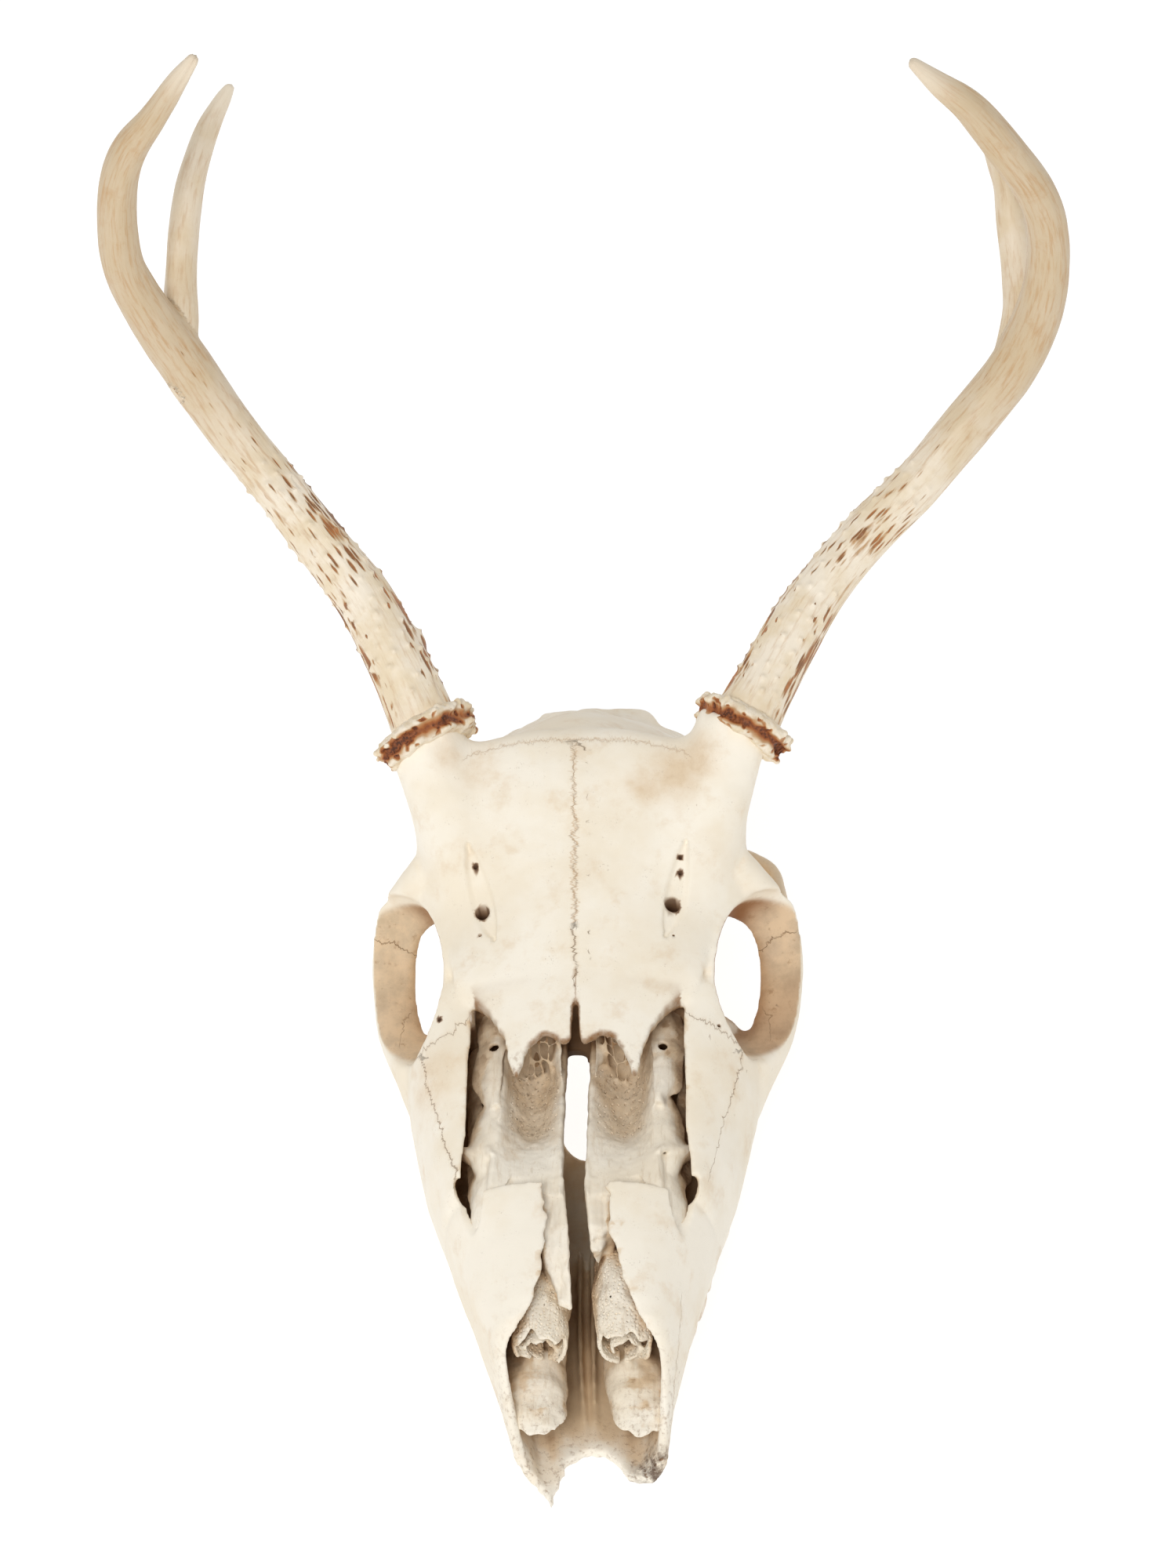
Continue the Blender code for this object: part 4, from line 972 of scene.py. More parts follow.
# the roll, a smaller one inside it and the dome below: y, middle x and z, half width, half height
ROLL = [(-24, 11.3, 24, 6, 8), (-40, 11, 26, 7, 10.4), (-50, 10.6, 28.2, 7.2, 9.4), (-56, 10.4, 29, 6.8, 7.6),
        (-62, 10.2, 29, 6.2, 6), (-67.5, 10, 28.4, 5.4, 4.8)]
INNER_ROLL = [(-46, 10.6, 27, 4.6, 4.8), (-56, 10.2, 27, 4.2, 4.2), (-66, 9.8, 26.4, 3.8, 3.6)]
DOME = [(-26, 12.2, 13, 6, 6), (-50, 12.2, 14, 7, 6.6), (-62, 12.3, 14.6, 7.2, 6.2),
        (-70, 12.3, 14.4, 7, 5.2), (-77, 12.2, 13.4, 6, 3.8), (-82, 12, 12.4, 4.6, 2.6)]


def roll_shapes(seed):
    """The roll and the domed plate in the front of the nose, open and ragged at their front ends."""
    core = loft([oval((11.3, y, z), (5, 0, 0), (0, 0, tall)) for y, z, tall in
                 flow([(-24, 24, 6), (-40, 25, 6), (-50, 25, 4)], 4)])
    root = loft([oval((x, -40, z), (0, 8, 0), (0, 0, 1.8)) for x, z in
                 flow([(12, 20), (18, 20), (24, 19)], 3)])
    return [rolled_sheet(ROLL, (-60, 250), seed, 3.6, 1.1),
            rolled_sheet(INNER_ROLL, (-100, 200), seed + 5, 2.6, 0.9, shrink=0.3),
            rolled_sheet(DOME, (-8, 188), seed + 9, 1.3, 1.2, tongue=7.0), core, root]


# %% [markdown]
# ## Pores and beads
# Spongy bone is full of pores, and antler is set with beads. Both are many and alike, so Geometry Nodes
# scatter them: small balls of random sizes on a surface, kept a set distance apart. Taken away from the
# surface they are pores, and under a new skin with it they are beads.

# %% Scatter balls with Geometry Nodes
def feed(tree, socket, value):
    """Link a socket to another one, or give it a plain number."""
    if isinstance(value, bpy.types.NodeSocket):
        tree.links.new(value, socket)
    else:
        socket.default_value = value


def node(tree, kind, settings=None, **inputs):
    """A node with its settings made first and its sockets fed by name, or by number as in i2."""
    made = tree.nodes.new(kind)
    for key, value in (settings or {}).items():
        setattr(made, key, value)
    for key, value in inputs.items():
        numbered = key[0] == "i" and key[1:].isdigit()
        feed(tree, made.inputs[int(key[1:]) if numbered else key.replace("_", " ")], value)
    return made


def scatter_tree():
    """A node tree that sets small balls of random sizes on a surface, a distance apart."""
    tree = bpy.data.node_groups.new("scatter", "GeometryNodeTree")
    tree.interface.new_socket("Geometry", in_out="INPUT", socket_type="NodeSocketGeometry")
    for label in ("Apart", "Smallest", "Largest"):
        tree.interface.new_socket(label, in_out="INPUT", socket_type="NodeSocketFloat")
    tree.interface.new_socket("Geometry", in_out="OUTPUT", socket_type="NodeSocketGeometry")
    source, sink = tree.nodes.new("NodeGroupInput").outputs, tree.nodes.new("NodeGroupOutput").inputs
    points = node(tree, "GeometryNodeDistributePointsOnFaces", {"distribute_method": "POISSON"},
                  Mesh=source["Geometry"], Distance_Min=source["Apart"], Density_Max=4.0, Seed=7)
    size = node(tree, "FunctionNodeRandomValue", {"data_type": "FLOAT"}, i2=source["Smallest"],
                i3=source["Largest"], Seed=3)
    ball = node(tree, "GeometryNodeMeshIcoSphere", Radius=1.0, Subdivisions=2)
    placed = node(tree, "GeometryNodeInstanceOnPoints", Points=points.outputs["Points"],
                  Instance=ball.outputs["Mesh"], Scale=size.outputs[1])
    real = node(tree, "GeometryNodeRealizeInstances", Geometry=placed.outputs["Instances"])
    tree.links.new(real.outputs["Geometry"], sink["Geometry"])
    return tree


scatter = scatter_tree()


def balls_on(thing, keep, **sizes):
    """Balls scattered on those faces of an object that a rule keeps, as a plain mesh."""
    patch = copy_of(thing, "patch")
    bm = bmesh.new()
    bm.from_mesh(patch.data)
    bmesh.ops.delete(bm, geom=[face for face in bm.faces if not keep(face)], context="FACES")
    bm.to_mesh(patch.data)
    bm.free()
    step = patch.modifiers.new("scatter", "NODES")
    step.node_group = scatter
    for item in scatter.interface.items_tree:
        if item.name in sizes:
            step[item.identifier] = float(sizes[item.name])
    return bake(patch)


PORE_GRAIN = 0.2


def pitted(thing, where, **sizes):
    """Take scattered pores away from the part of a surface that a rule picks."""
    balls = balls_on(thing, lambda face: where(face.calc_center_median(), face.normal), **sizes)
    return combine(thing, skin(balls, PORE_GRAIN))


print("scatter tree:", len(scatter.nodes), "nodes")


# %% Grain, pores and the finished scrolls
def in_dish(points):
    """How far each point lies in the dish of the shelf, from 0 to 1."""
    x, y, z = abs(points[:, 0]), points[:, 1], points[:, 2]
    return fade(y, -27, -17) * (1 - fade(y, 12, 22)) * fade(z, 38, 40) * (x < 19)


def shape_scroll(thing, seed):
    """Give a scroll its grain: grooves along the strip, lumps in the dish, ridges on the plate."""
    points, facing = points_of(thing), normals_of(thing)
    x, y, z = abs(points[:, 0]), points[:, 1], points[:, 2]
    push = 0.10 * noise(points, 1.6, seed) + 0.05 * noise(points, 0.8, seed + 1)
    strip = fade(9.6 - x, 0, 1) * fade(-y, 26, 34) * fade(z, 30, 32)
    push += strip * 0.16 * noise(points * (1, 0.1, 1), 0.7, seed + 2)
    push += in_dish(points) * (0.3 * noise(points, 4.2, seed + 3) + 0.16 * noise(points, 1.6, seed + 4))
    ridged = fade(-y, 62, 68) * fade(23 - z, 0, 2)
    push += ridged * 0.03 * np.cos(y * 2 * math.pi / 1.1 + 0.25 * x + 2 * noise(points, 6, seed))
    set_points(thing, points + facing * push[:, None])


def upper_scroll(name, sign, seed):
    """One side's upper scroll, finished in the skull's frame."""
    thing = skin(solid(name, sided(upper_scroll_shapes(seed, sign), sign)), SCROLL_GRAIN)
    hole = tube([((20.4, 9, 60), 2.6), ((20.4, 5, 45), 2.2)], 16, 3)
    dent = loft([oval((13.5, y, z), (3.6, 0, 0), (0, 0, 0.8), 20)
                 for y, z in ((-38, 50.6), (-34, 48.4), (-30, 47.6))])
    cut(thing, sided([hole, dent], sign))
    soften(thing, 3)
    points = points_of(thing)
    soften(thing, 40, 1 - in_dish(points) * (abs(points[:, 0]) < 16))
    pitted(thing, lambda c, n: -13 < c.y < 6 and 5 < abs(c.x) < 16 and 38 < c.z < 48 and n.z > 0.2,
           Apart=1.9, Smallest=0.22, Largest=0.5)
    shape_scroll(thing, seed)
    return thing


def lower_scroll(name, sign, seed):
    """One side's roll and ridged plate, finished in the skull's frame."""
    thing = skin(solid(name, roll_shapes(seed)), SCROLL_GRAIN)
    soften(thing, 2)
    pitted(thing, lambda c, n: c.y < -38 and c.z > 22, Apart=0.8, Smallest=0.2, Largest=0.38)
    if sign < 0:
        set_points(thing, points_of(thing) * (-1, 1, 1))
        thing.data.flip_normals()
    shape_scroll(thing, seed)
    return thing


scrolls = {}
for side, sign in (("left", 1), ("right", -1)):
    scrolls["upper_scroll_" + side] = upper_scroll("upper_" + side, sign, 20 + 3 * sign)
    scrolls["lower_scroll_" + side] = lower_scroll("lower_" + side, sign, 40 + 3 * sign)
print("scrolls:", {name: faces_of(thing) for name, thing in scrolls.items()})

# %% [markdown]
# ## The antlers
# An antler grows as living bone under a furry skin, and the blood vessels of that skin press gutters into
# it. They run along the beam, stained brown where nothing rubs, and small beads of bone stand between
# them. So the beam, branch and tine are tubes under one skin, every point learns how far along and round
# the beam it lies, and noise stretched along those coordinates digs the gutters. The beads are many and
# alike, so the same node tree scatters them, and the skin is drawn over them too.

# %% Centre lines of the antlers
# middle of each burr, and the way in which its antler leaves it
BURR = {"left": ((40.3, 73.0, 94.7), (0.52, 0.69, 0.52)), "right": ((-36.4, 71.8, 94.7), (-0.52, 0.69, 0.52))}
# centre and diameter along beam and branch, from the burr outward
BEAM = {
    "left": [((40.8, 73.6, 95.2), 17), ((42.2, 75.5, 97), 16.6), ((46, 81.6, 100.8), 15.4),
             ((54.4, 94.8, 109), 14.4), ((62, 104, 115), 13.4), ((72, 113, 122), 12.8),
             ((83, 121, 129), 12.8), ((96, 131, 140), 12.6), ((107, 137, 152), 12.6),
             ((113, 140, 165), 12.2), ((116, 141, 179), 10.9), ((116, 142, 193), 10.2),
             ((113, 142, 204), 9.8), ((108, 142, 213), 9.4), ((102, 143, 222), 8.8), ((97, 143, 229), 7.6),
             ((91, 144, 234), 6), ((85, 145, 239.5), 3.4)],
    "right": [((-36.8, 72.6, 95.6), 17), ((-37.8, 74.6, 97.4), 16.8), ((-42.2, 82.3, 105.2), 15.8),
              ((-49.6, 93.8, 114.8), 14.8), ((-56, 101, 121.5), 13.8), ((-70, 114, 135), 12.8),
              ((-84, 125, 150), 12.8), ((-96, 134, 167), 12.9), ((-102, 136, 179), 11.7),
              ((-106, 136, 192), 10.7), ((-106, 136, 205), 10), ((-104, 137, 218), 9.6),
              ((-100, 138, 227), 8.8), ((-94, 138, 235), 7.2), ((-88, 140, 243), 5.6),
              ((-83, 141, 249.5), 3.2)],
}
# the same for the tine, from inside the fork to its tip
TINE = {
    "left": [((102, 134, 146), 7), ((107.5, 140.5, 153), 9.6), ((109.5, 149, 161), 8.8),
             ((109, 158, 168), 8.1), ((108, 165, 175), 7.6), ((107, 171, 182), 6.8), ((105, 175, 187), 6),
             ((103, 179, 192), 4.6), ((102, 181, 195.5), 2.8)],
    "right": [((-91, 126, 156), 7), ((-95.5, 132, 164.5), 9.6), ((-95, 140, 172), 9),
              ((-95, 148, 178), 8.4), ((-94, 158, 187), 8), ((-92, 166, 195), 7.4), ((-88, 173, 204), 5.8),
              ((-84, 177, 210), 4.2), ((-82, 179, 212.5), 2.8)],
}
# a pearly lump on the inner side of the right beam
LUMP = [((-41, 92.5, 112.5), 3), ((-39.8, 90, 110.5), 5.6), ((-39.2, 87.6, 108.2), 5.4),
        ((-39.6, 85.4, 105.6), 3)]
ANTLER_GRAIN = 0.4
SIGN = {"left": 1, "right": -1}


def along_tube(points, rows):
    """For each point: how far along a tube it lies, its angle round it and its distance from the middle."""
    line = flow([(*centre, diameter / 2) for centre, diameter in rows], 8)
    path = line[:, :3]
    length = np.concatenate(([0], np.cumsum(np.linalg.norm(np.diff(path, axis=0), axis=1))))
    tree = tree_over(path)
    near = np.array([tree.find(point)[1] for point in points])
    frames = np.array(upright(path))
    ahead = np.cross(frames[:, 0], frames[:, 1])
    offset = points - path[near]
    one, other = (np.sum(offset * frames[near, i], axis=1) for i in (0, 1))
    return (length[near] + np.sum(offset * ahead[near], axis=1), np.arctan2(other, one),
            np.hypot(one, other), line[near, 3])


left_steps = np.diff([centre for centre, diameter in BEAM["left"]], axis=0)
print("left beam and branch:", round(sum(np.linalg.norm(left_steps, axis=1))), "mm long")

# %% [markdown]
# The gutters are noise as well, but drawn in other coordinates: round the beam, and along it with the
# length squeezed, so that each bump becomes a long groove. They are dense at the foot, fade upward, and
# are told to the material as a tint.

# %% Beads, gutters and the antler's skin
def beaded(thing, where, grain, **sizes):
    """Lay scattered beads on the part of a surface that a rule picks, under one new skin."""
    inside = where(points_of(thing))
    balls = balls_on(thing, lambda face: all(inside[v.index] for v in face.verts), **sizes)
    return skin(join(thing, [balls]), grain)


FAINTER = {"left": 0.3, "right": 0.0}    # how much fainter the gutters are beyond the foot


def gutter_strength(along, inner, front, place):
    """Where gutters are dense: the middle of the beam, and the sides and back of its foot."""
    reach = fade(along, 1, 6) * (1 - fade(along, 56, 92))
    reach += 0.2 * fade(along, 60, 80) * (1 - fade(along, 100, 140))
    low = 1 - fade(along, 32, 46)
    sides = np.maximum(1.3 * fade(abs(inner), 0.5, 0.85), fade(-front, -0.2, 0.3))
    middle = 0.5 + 0.3 * fade(inner, -0.3, 0.6) + 0.4 * noise(place, 9, 4)
    return reach * np.clip(low * (0.06 + 0.8 * sides) + (1 - low) * middle, 0, 0.85)


def gutters(place, strength):
    """Depth, from 0 to 1, of shallow gutters in coordinates that lie straight along the beam."""
    wide = noise(place * (1, 1, 0.2), 1.2, 1)
    level = 0.8 - 0.7 * strength
    return fade(wide, level, level + 0.4) * (strength > 0.02)


def antler(side, seed):
    """One antler, with its gutters, beads and tines, in the skull's frame."""
    sign = SIGN[side]
    tubes = [tube(BEAM[side], 40, 8, True), tube(TINE[side], 32, 6, True)]
    if side == "right":
        tubes.append(tube(LUMP, 20, 4, True))
    thing = skin(solid("antler_" + side, tubes), ANTLER_GRAIN * 1.6)
    foot = np.array(BEAM[side][1][0])

    def inner_low(points):
        offset = points - foot
        return ((offset @ BURR[side][1] > 5) & (np.linalg.norm(offset, axis=1) < 75)
                & (sign * (points[:, 0] - foot[0]) * 0.75 - (points[:, 2] - foot[2]) < -1.5))

    beaded(thing, inner_low, ANTLER_GRAIN, Apart=3.4, Smallest=0.35, Largest=0.95)
    soften(thing, 4)
    points, facing = points_of(thing), normals_of(thing)
    along, angle, away, radius = along_tube(points, BEAM[side])
    tine_along, tine_angle, tine_away, tine_radius = along_tube(points, TINE[side])
    on_tine = (tine_away - tine_radius < away - radius - 0.4) & (tine_along > 3)
    inner, front = -sign * facing[:, 0], -facing[:, 1] * 0.7 + facing[:, 2] * 0.7
    bend = np.where(on_tine, tine_angle, angle)
    size = np.where(on_tine, tine_radius, 7.0)
    place = np.column_stack((size * np.cos(bend), size * np.sin(bend),
                             np.where(on_tine, 150 + tine_along, along)))
    strength = gutter_strength(along, inner, front, place + seed) * ~on_tine
    strength *= 1 - FAINTER[side] * fade(along, 30, 45)
    strength = np.maximum(strength, on_tine * 0.25 * (1 - fade(tine_along, 12, 30)))
    groove = gutters(place + seed * 3.1, strength)
    push = 0.3 * noise(place * (1, 1, 0.3) + seed, 5) + 0.1 * noise(place * (1, 1, 0.25), 1.6, 3)
    push += 0.05 * noise(place * (1, 1, 0.1), 0.7, 8) - 0.3 * groove - 0.12
    set_points(thing, points + facing * push[:, None])
    tine_end = tine_along[on_tine].max()
    tip = np.maximum(fade(along, along.max() - 18, along.max() - 3) * ~on_tine,
                     fade(tine_along, tine_end - 14, tine_end - 2) * on_tine)
    mark(thing, upper=fade(along, 60, 120) * (1 - 0.55 * on_tine), tint=strength, tip=tip,
         round_x=place[:, 0], round_y=place[:, 1], along=place[:, 2])
    return thing


antlers = {side: antler(side, 1.7 * sign) for side, sign in SIGN.items()}
print("antlers:", {side: faces_of(thing) for side, thing in antlers.items()})

# %% [markdown]
# ## The burrs
# The burr is the rough collar at an antler's foot. Its upper side is pale and rubbed, its edge is
# scalloped and hangs over a deep brown groove, and beads crowd together at its outer ends. It is a loft
# of rings round the antler's axis whose radius changes with height and angle, with beads laid on the rim.

# %% Burrs
BURR_GRAIN = 0.28
# height along the axis, radius, how strongly the lumps show
BURR_PROFILE = [(-3.3, 8.0, 0.0), (-3.2, 10.6, 0.4), (-2.3, 11.9, 0.8), (-1.0, 12.0, 0.9), (0.3, 12.3, 1.0),
                (1.0, 13.1, 1.0), (2.0, 13.2, 0.9), (2.9, 12.4, 0.6), (3.5, 10.8, 0.4), (4.0, 8.8, 0.2),
                (4.2, 7.4, 0.0)]
BURR_ARCH = 1.7                 # how far the side that faces forward stands up along the axis


def burr_axes(side):
    """The middle of a burr and its three directions: up its axis, forward and sideways."""
    centre, axis = (np.array(v, float) for v in BURR[side])
    axis /= np.linalg.norm(axis)
    ahead = np.array((0, -1.0, 0.4))
    ahead -= axis * ahead.dot(axis)
    ahead /= np.linalg.norm(ahead)
    return centre, axis, ahead, np.cross(axis, ahead)


def burr_shape(side, seed):
    """The collar as a loft of lumpy rings."""
    centre, axis, ahead, aside = burr_axes(side)
    angle = turns(240)
    rim = np.column_stack((np.cos(angle) * 12, np.sin(angle) * 12, np.zeros(240)))
    lobes = 1.5 * noise(rim, 8.5, seed) + 0.9 * noise(rim, 4.2, seed + 1)
    scallop = 0.8 * abs(noise(rim, 2.1, seed + 2)) - 0.3
    rings = []
    for height, radius, share in BURR_PROFILE:
        teeth = scallop * (0.9 if height > 0.3 else 0.35) * share
        reach = np.minimum(radius + share * lobes + teeth - 0.6 * share, 13.9)
        lift = height + BURR_ARCH * (np.cos(angle) - 0.2) * 0.6 + 0.5 * share * noise(rim, 4.2, seed + 3)
        rings.append(centre + np.outer(lift, axis) + np.outer(reach * np.cos(angle), ahead)
                     + np.outer(reach * np.sin(angle), aside))
    return loft(rings)


def burr(side, seed):
    """One burr, with its beads and its brown groove."""
    centre, axis, ahead, aside = burr_axes(side)
    thing = skin(solid("burr_" + side, [burr_shape(side, seed)]), BURR_GRAIN * 1.3)

    def ends(points):
        offset = points - centre
        turn = abs(offset @ aside) / 12.5
        return (np.hypot(offset @ ahead, offset @ aside) > 11) & (turn > 0.62) | (offset @ ahead < -9)

    beaded(thing, ends, BURR_GRAIN, Apart=2.1, Smallest=0.6, Largest=1.25)
    soften(thing, 9)
    points, facing = points_of(thing), normals_of(thing)
    offset = points - centre
    turn = np.arctan2(offset @ aside, offset @ ahead)
    height = offset @ axis - BURR_ARCH * (np.cos(turn) - 0.2) * 0.6
    reach = np.hypot(offset @ ahead, offset @ aside)
    band = np.exp(-((height + 0.7 + 0.9 * noise(points, 3.5, seed)) / 1.25) ** 2) * fade(reach, 9.5, 10.8)
    band *= 0.92 + 0.35 * noise(points, 4.5, seed + 9)
    pits = fade(noise(points, 1.3, seed + 4), 0.25, 0.6) * fade(reach, 9, 11)
    lumps = 0.35 * noise(points, 2.2, seed + 7) + 0.12 * noise(points, 0.9, seed + 6)
    set_points(thing, points + facing * (lumps - 0.8 * band - 0.4 * pits)[:, None])
    mark(thing, gutter=np.clip(band * 1.1 + 0.7 * pits * (height < 2.2) - 0.6 * lumps, 0, 1))
    return thing


burrs = {side: burr(side, 60 + 5 * sign) for side, sign in SIGN.items()}
print("burrs:", {side: faces_of(thing) for side, thing in burrs.items()})

# %% [markdown]
# ## The cheek teeth
# A deer's cheek tooth is two half moons of enamel, one behind the other, with a cusp on the outer and the
# inner side of each and a crescent-shaped valley between. Each crown is a loft of two-lobed rings that
# widens upward into the gum. The valleys are pressed into its underside afterwards, point by point.

# %% Teeth
TOOTH_ROW = (-47, 22)           # y of its two ends
# from the front, before they are fitted into the row
TOOTH_LENGTHS = np.array([9.5, 10, 10, 13, 14.5, 15])
TOOTH_GRAIN = 0.34


def floor_height(y):
    """Height of the floor in the skull's own frame."""
    slope = (REST_BACK[1] - REST_FRONT[1]) / (REST_BACK[0] - REST_FRONT[0])
    return REST_FRONT[1] + slope * (y - REST_FRONT[0])


def tooth_edges():
    """Where each tooth starts and ends along the row."""
    lengths = TOOTH_LENGTHS * (TOOTH_ROW[1] - TOOTH_ROW[0]) / TOOTH_LENGTHS.sum()
    return TOOTH_ROW[0] + np.concatenate(([0], np.cumsum(lengths)))


def crown(place, sign):
    """One crown: two-lobed rings from the gum down to its worn edge."""
    low_y, high_y = tooth_edges()[place:place + 2]
    width, reach = 9 + 0.8 * place, -9.5 - 0.9 * place
    middle = (low_y + high_y) / 2
    half_long = (high_y - low_y) / 2 * 1.02
    centre_x = read(GUM, middle, 1) - 0.3 - width / 2
    slope = (read(GUM, high_y, 1) - read(GUM, low_y, 1)) / (high_y - low_y)
    c, s = np.cos(turns(56)), np.sin(turns(56))
    lobes = 2 if place > 2 else 1
    rings = []
    for z, wide, long in ((5, 0.9, 0.9), (2, 0.96, 0.96), (-2, 1.0, 1.0), (reach * 0.7, 0.95, 1.0),
                          (reach, 0.84, 0.97)):
        waist = 1 - (0.16 if lobes == 2 else 0.05) * (1 - abs(s)) ** 2 * 1.4
        y = half_long * long * np.sign(s) * abs(s) ** 0.75
        x = width / 2 * wide * np.sign(c) * abs(c) ** 0.7 * waist
        rings.append(np.column_stack((sign * (centre_x + x + slope * y), middle + y, np.full(56, float(z)))))
    return loft(rings), (middle, half_long, centre_x, slope, width, reach, lobes)


def teeth(side):
    """One side's row of cheek teeth with their cusps and valleys."""
    sign = SIGN[side]
    crowns, sizes = zip(*[crown(place, sign) for place in range(len(TOOTH_LENGTHS))])
    thing = skin(solid("teeth_" + side, crowns), TOOTH_GRAIN)
    soften(thing, 3)
    points, facing = points_of(thing), normals_of(thing)
    dirt = np.zeros(len(points))
    for middle, half_long, centre_x, slope, width, reach, lobes in sizes:
        v = (points[:, 1] - middle) / half_long
        u = (sign * points[:, 0] - centre_x - slope * (points[:, 1] - middle)) / (width / 2)
        mine = (abs(v) <= 1.0) * fade(-points[:, 2], -reach * 0.35, -reach * 0.8)
        local = v if lobes == 1 else (abs(v) - 0.5) * 2
        valley = np.exp(-((u - 0.05 - 0.35 * local ** 2) / 0.2) ** 2) * (1 - 0.5 * abs(local) ** 3)
        notch = np.exp(-(v / 0.12) ** 2) * (lobes == 2)
        under = fade(-facing[:, 2], 0.2, 0.8)
        lift = mine * under * (2.6 * valley + 1.4 * abs(local) ** 2 + 1.2 * notch)
        side_dent = mine * (1 - under) * 0.5 * np.exp(-(v / 0.14) ** 2) * (lobes == 2)
        points[:, 2] += lift
        points[:, 0] -= facing[:, 0] * side_dent
        dirt = np.maximum(dirt, mine * np.clip(valley * under + 0.5 * notch, 0, 1))
    fold = 0.12 * noise(points * (1, 1, 0.2), 1.6, 3) + 0.05 * noise(points, 0.9, 5)
    points += facing * fold[:, None]
    points[:, 2] = np.maximum(points[:, 2], floor_height(points[:, 1]))
    set_points(thing, points)
    mark(thing, dirt=dirt)
    return thing


tooth_rows = {side: teeth(side) for side in SIGN}
print("teeth:", {side: faces_of(thing) for side, thing in tooth_rows.items()})

# %% [markdown]
# ## What the colours need to know
# Old bone is not one colour. It is stained by soil in some places and crossed by sutures, the zigzag
# seams in which the skull's bones meet, and where it is shut in, the material paints shade on it, tan
# and then dark, for the light that doesn't reach there. A material can't find any of that by itself, so
# each point is told. How shut in a place is comes from short rays shot from it against a coarse copy of
# the whole skull.

# %% How shut in each place is, for the painted shade
RAYS = 20                       # shot from each point
RAY_REACH = 26.0                # mm; what is further off shuts nothing in
COARSE_GRAIN = 1.7


def hollow_map(things):
    """Points spread over coarse copies of some objects, and how shut in each one is, from 0 to 1; the
    materials paint shade by it.
    """
    coarse, *others = [copy_of(thing, "coarse") for thing in things]
    skin(join(coarse, others), COARSE_GRAIN)
    points, facing = points_of(coarse), normals_of(coarse)
    tree = BVHTree.FromPolygons(points.tolist(), [face.vertices[:] for face in coarse.data.polygons])
    count = np.arange(RAYS) + 0.5
    rise, turn = 1 - 2 * count / RAYS, count * math.pi * (1 + 5 ** 0.5)
    flat = np.sqrt(1 - rise ** 2)
    ways = np.column_stack((np.cos(turn) * flat, np.sin(turn) * flat, rise))
    shut = np.zeros(len(points))
    for i, (point, normal) in enumerate(zip(points, facing)):
        start = Vector(point + normal * 1.2)
        for way in ways + normal:
            if tree.ray_cast(start, Vector(way), RAY_REACH)[0] is not None:
                shut[i] += 1 / RAYS
    bpy.data.objects.remove(coarse)
    return points, shut


def carried(points, values, targets):
    """Values known at some points, carried to others from the three nearest."""
    tree = tree_over(points)
    found = np.empty(len(targets))
    for i, target in enumerate(targets):
        near = tree.find_n(target, 3)
        weights = [1 / (distance + 0.2) for _, _, distance in near]
        found[i] = sum(w * values[index] for w, (_, index, _) in zip(weights, near)) / sum(weights)
    return found


shut_points, shut_values = hollow_map([bone] + list(scrolls.values()))
print("hollow places:", len(shut_points), "points, mean", shut_values.mean().round(2))

# %% [markdown]
# The seams are drawn as lines through points on the skull, and each surface point keeps its distance to
# the nearest one, with a sign for the side it is on. A stain is a soft ball of dirt; the two on the floor
# of the nose and the one on the left cheek arch are partly painted shade.

# %% Seams and stains
bone_tree = tree_over(points_of(bone))


def on_bone(line):
    """A line drawn near the bone, moved onto its surface."""
    return [tuple(bone_tree.find(place)[0]) for place in flow(line, 4)]


# how strongly each seam shows, and places along it
SEAMS = [
    (0.5, [(-0.5, 68, 96.2), (-0.7, 57.7, 91.7), (-0.3, 49.3, 86.7), (-0.6, 40.9, 81.7), (-0.3, 32.5, 76.7),
           (-0.4, 27, 73.6)]),
    (0.3, [(-31, 64.5, 90), (-24, 66.5, 94.5), (-17, 67.5, 96), (-9, 68.4, 96.3), (0, 68.4, 96.3),
           (9, 68.4, 96.2), (17, 67.5, 96), (24, 66.5, 94.5), (31, 64.5, 90)]),
    (1.0, [(-38.8, 7.9, 49.8), (-37.5, 2.1, 49.1), (-35.7, -4.9, 48.5), (-32.8, -14.8, 48.3),
           (-30.1, -24.2, 47.8), (-27.6, -29, 46)]),
    (1.0, [(40, 10, 48.6), (39, 3.1, 47.5), (37.8, -3.4, 46.8), (36.3, -11.8, 46.2), (34.9, -20.5, 45.8),
           (33.2, -26.5, 45)]),
    (0.7, [(-44.4, 31.8, 36.3), (-46.1, 19.8, 40.9), (-42.5, 11, 44), (-38.8, 7.9, 49.8), (-35.5, 7.6, 53.5),
           (-30, 8.5, 58), (-26, 10, 61)]),
    (0.7, [(44.4, 31.8, 36.3), (46.1, 19.8, 40.9), (43, 12, 44), (40, 10, 48.6), (36.5, 9, 53), (31, 9.5, 58),
           (26, 11, 61)]),
    (0.7, [(22.5, -58, 34), (21.5, -66, 28), (20.5, -74, 20), (20, -82, 10)]),
]
# on either side of the braincase, and over the back of the head
SIDE_SEAMS = [[(36, 62, 66), (36.5, 72, 72), (37, 82, 69), (35, 92, 62), (31, 101, 54)],
              [(31, 97, 64), (24, 103, 70), (14, 104.5, 75), (0, 102.5, 78)]]
# the front end of the midline seam, which gapes
FRONT_CRACK = [(-0.4, 27, 73.6), (-0.5, 24, 72), (-0.3, 20, 70), (-0.3, 16.6, 68.3)]
SOCKET_CRACK = 112              # place round the socket's ring where a short seam crosses its wall
for sign in SIGN.values():
    SEAMS += [(0.8, on_bone([(sign * x, y, z) for x, y, z in line])) for line in SIDE_SEAMS]
for sign in SIGN.values():
    SEAMS.append((1.0, [orbit_ring(1.6, deep)[SOCKET_CRACK] * (sign, 1, 1) for deep in (0.5, 3, 6, 10)]))
SEAMS.append((1.0, FRONT_CRACK))
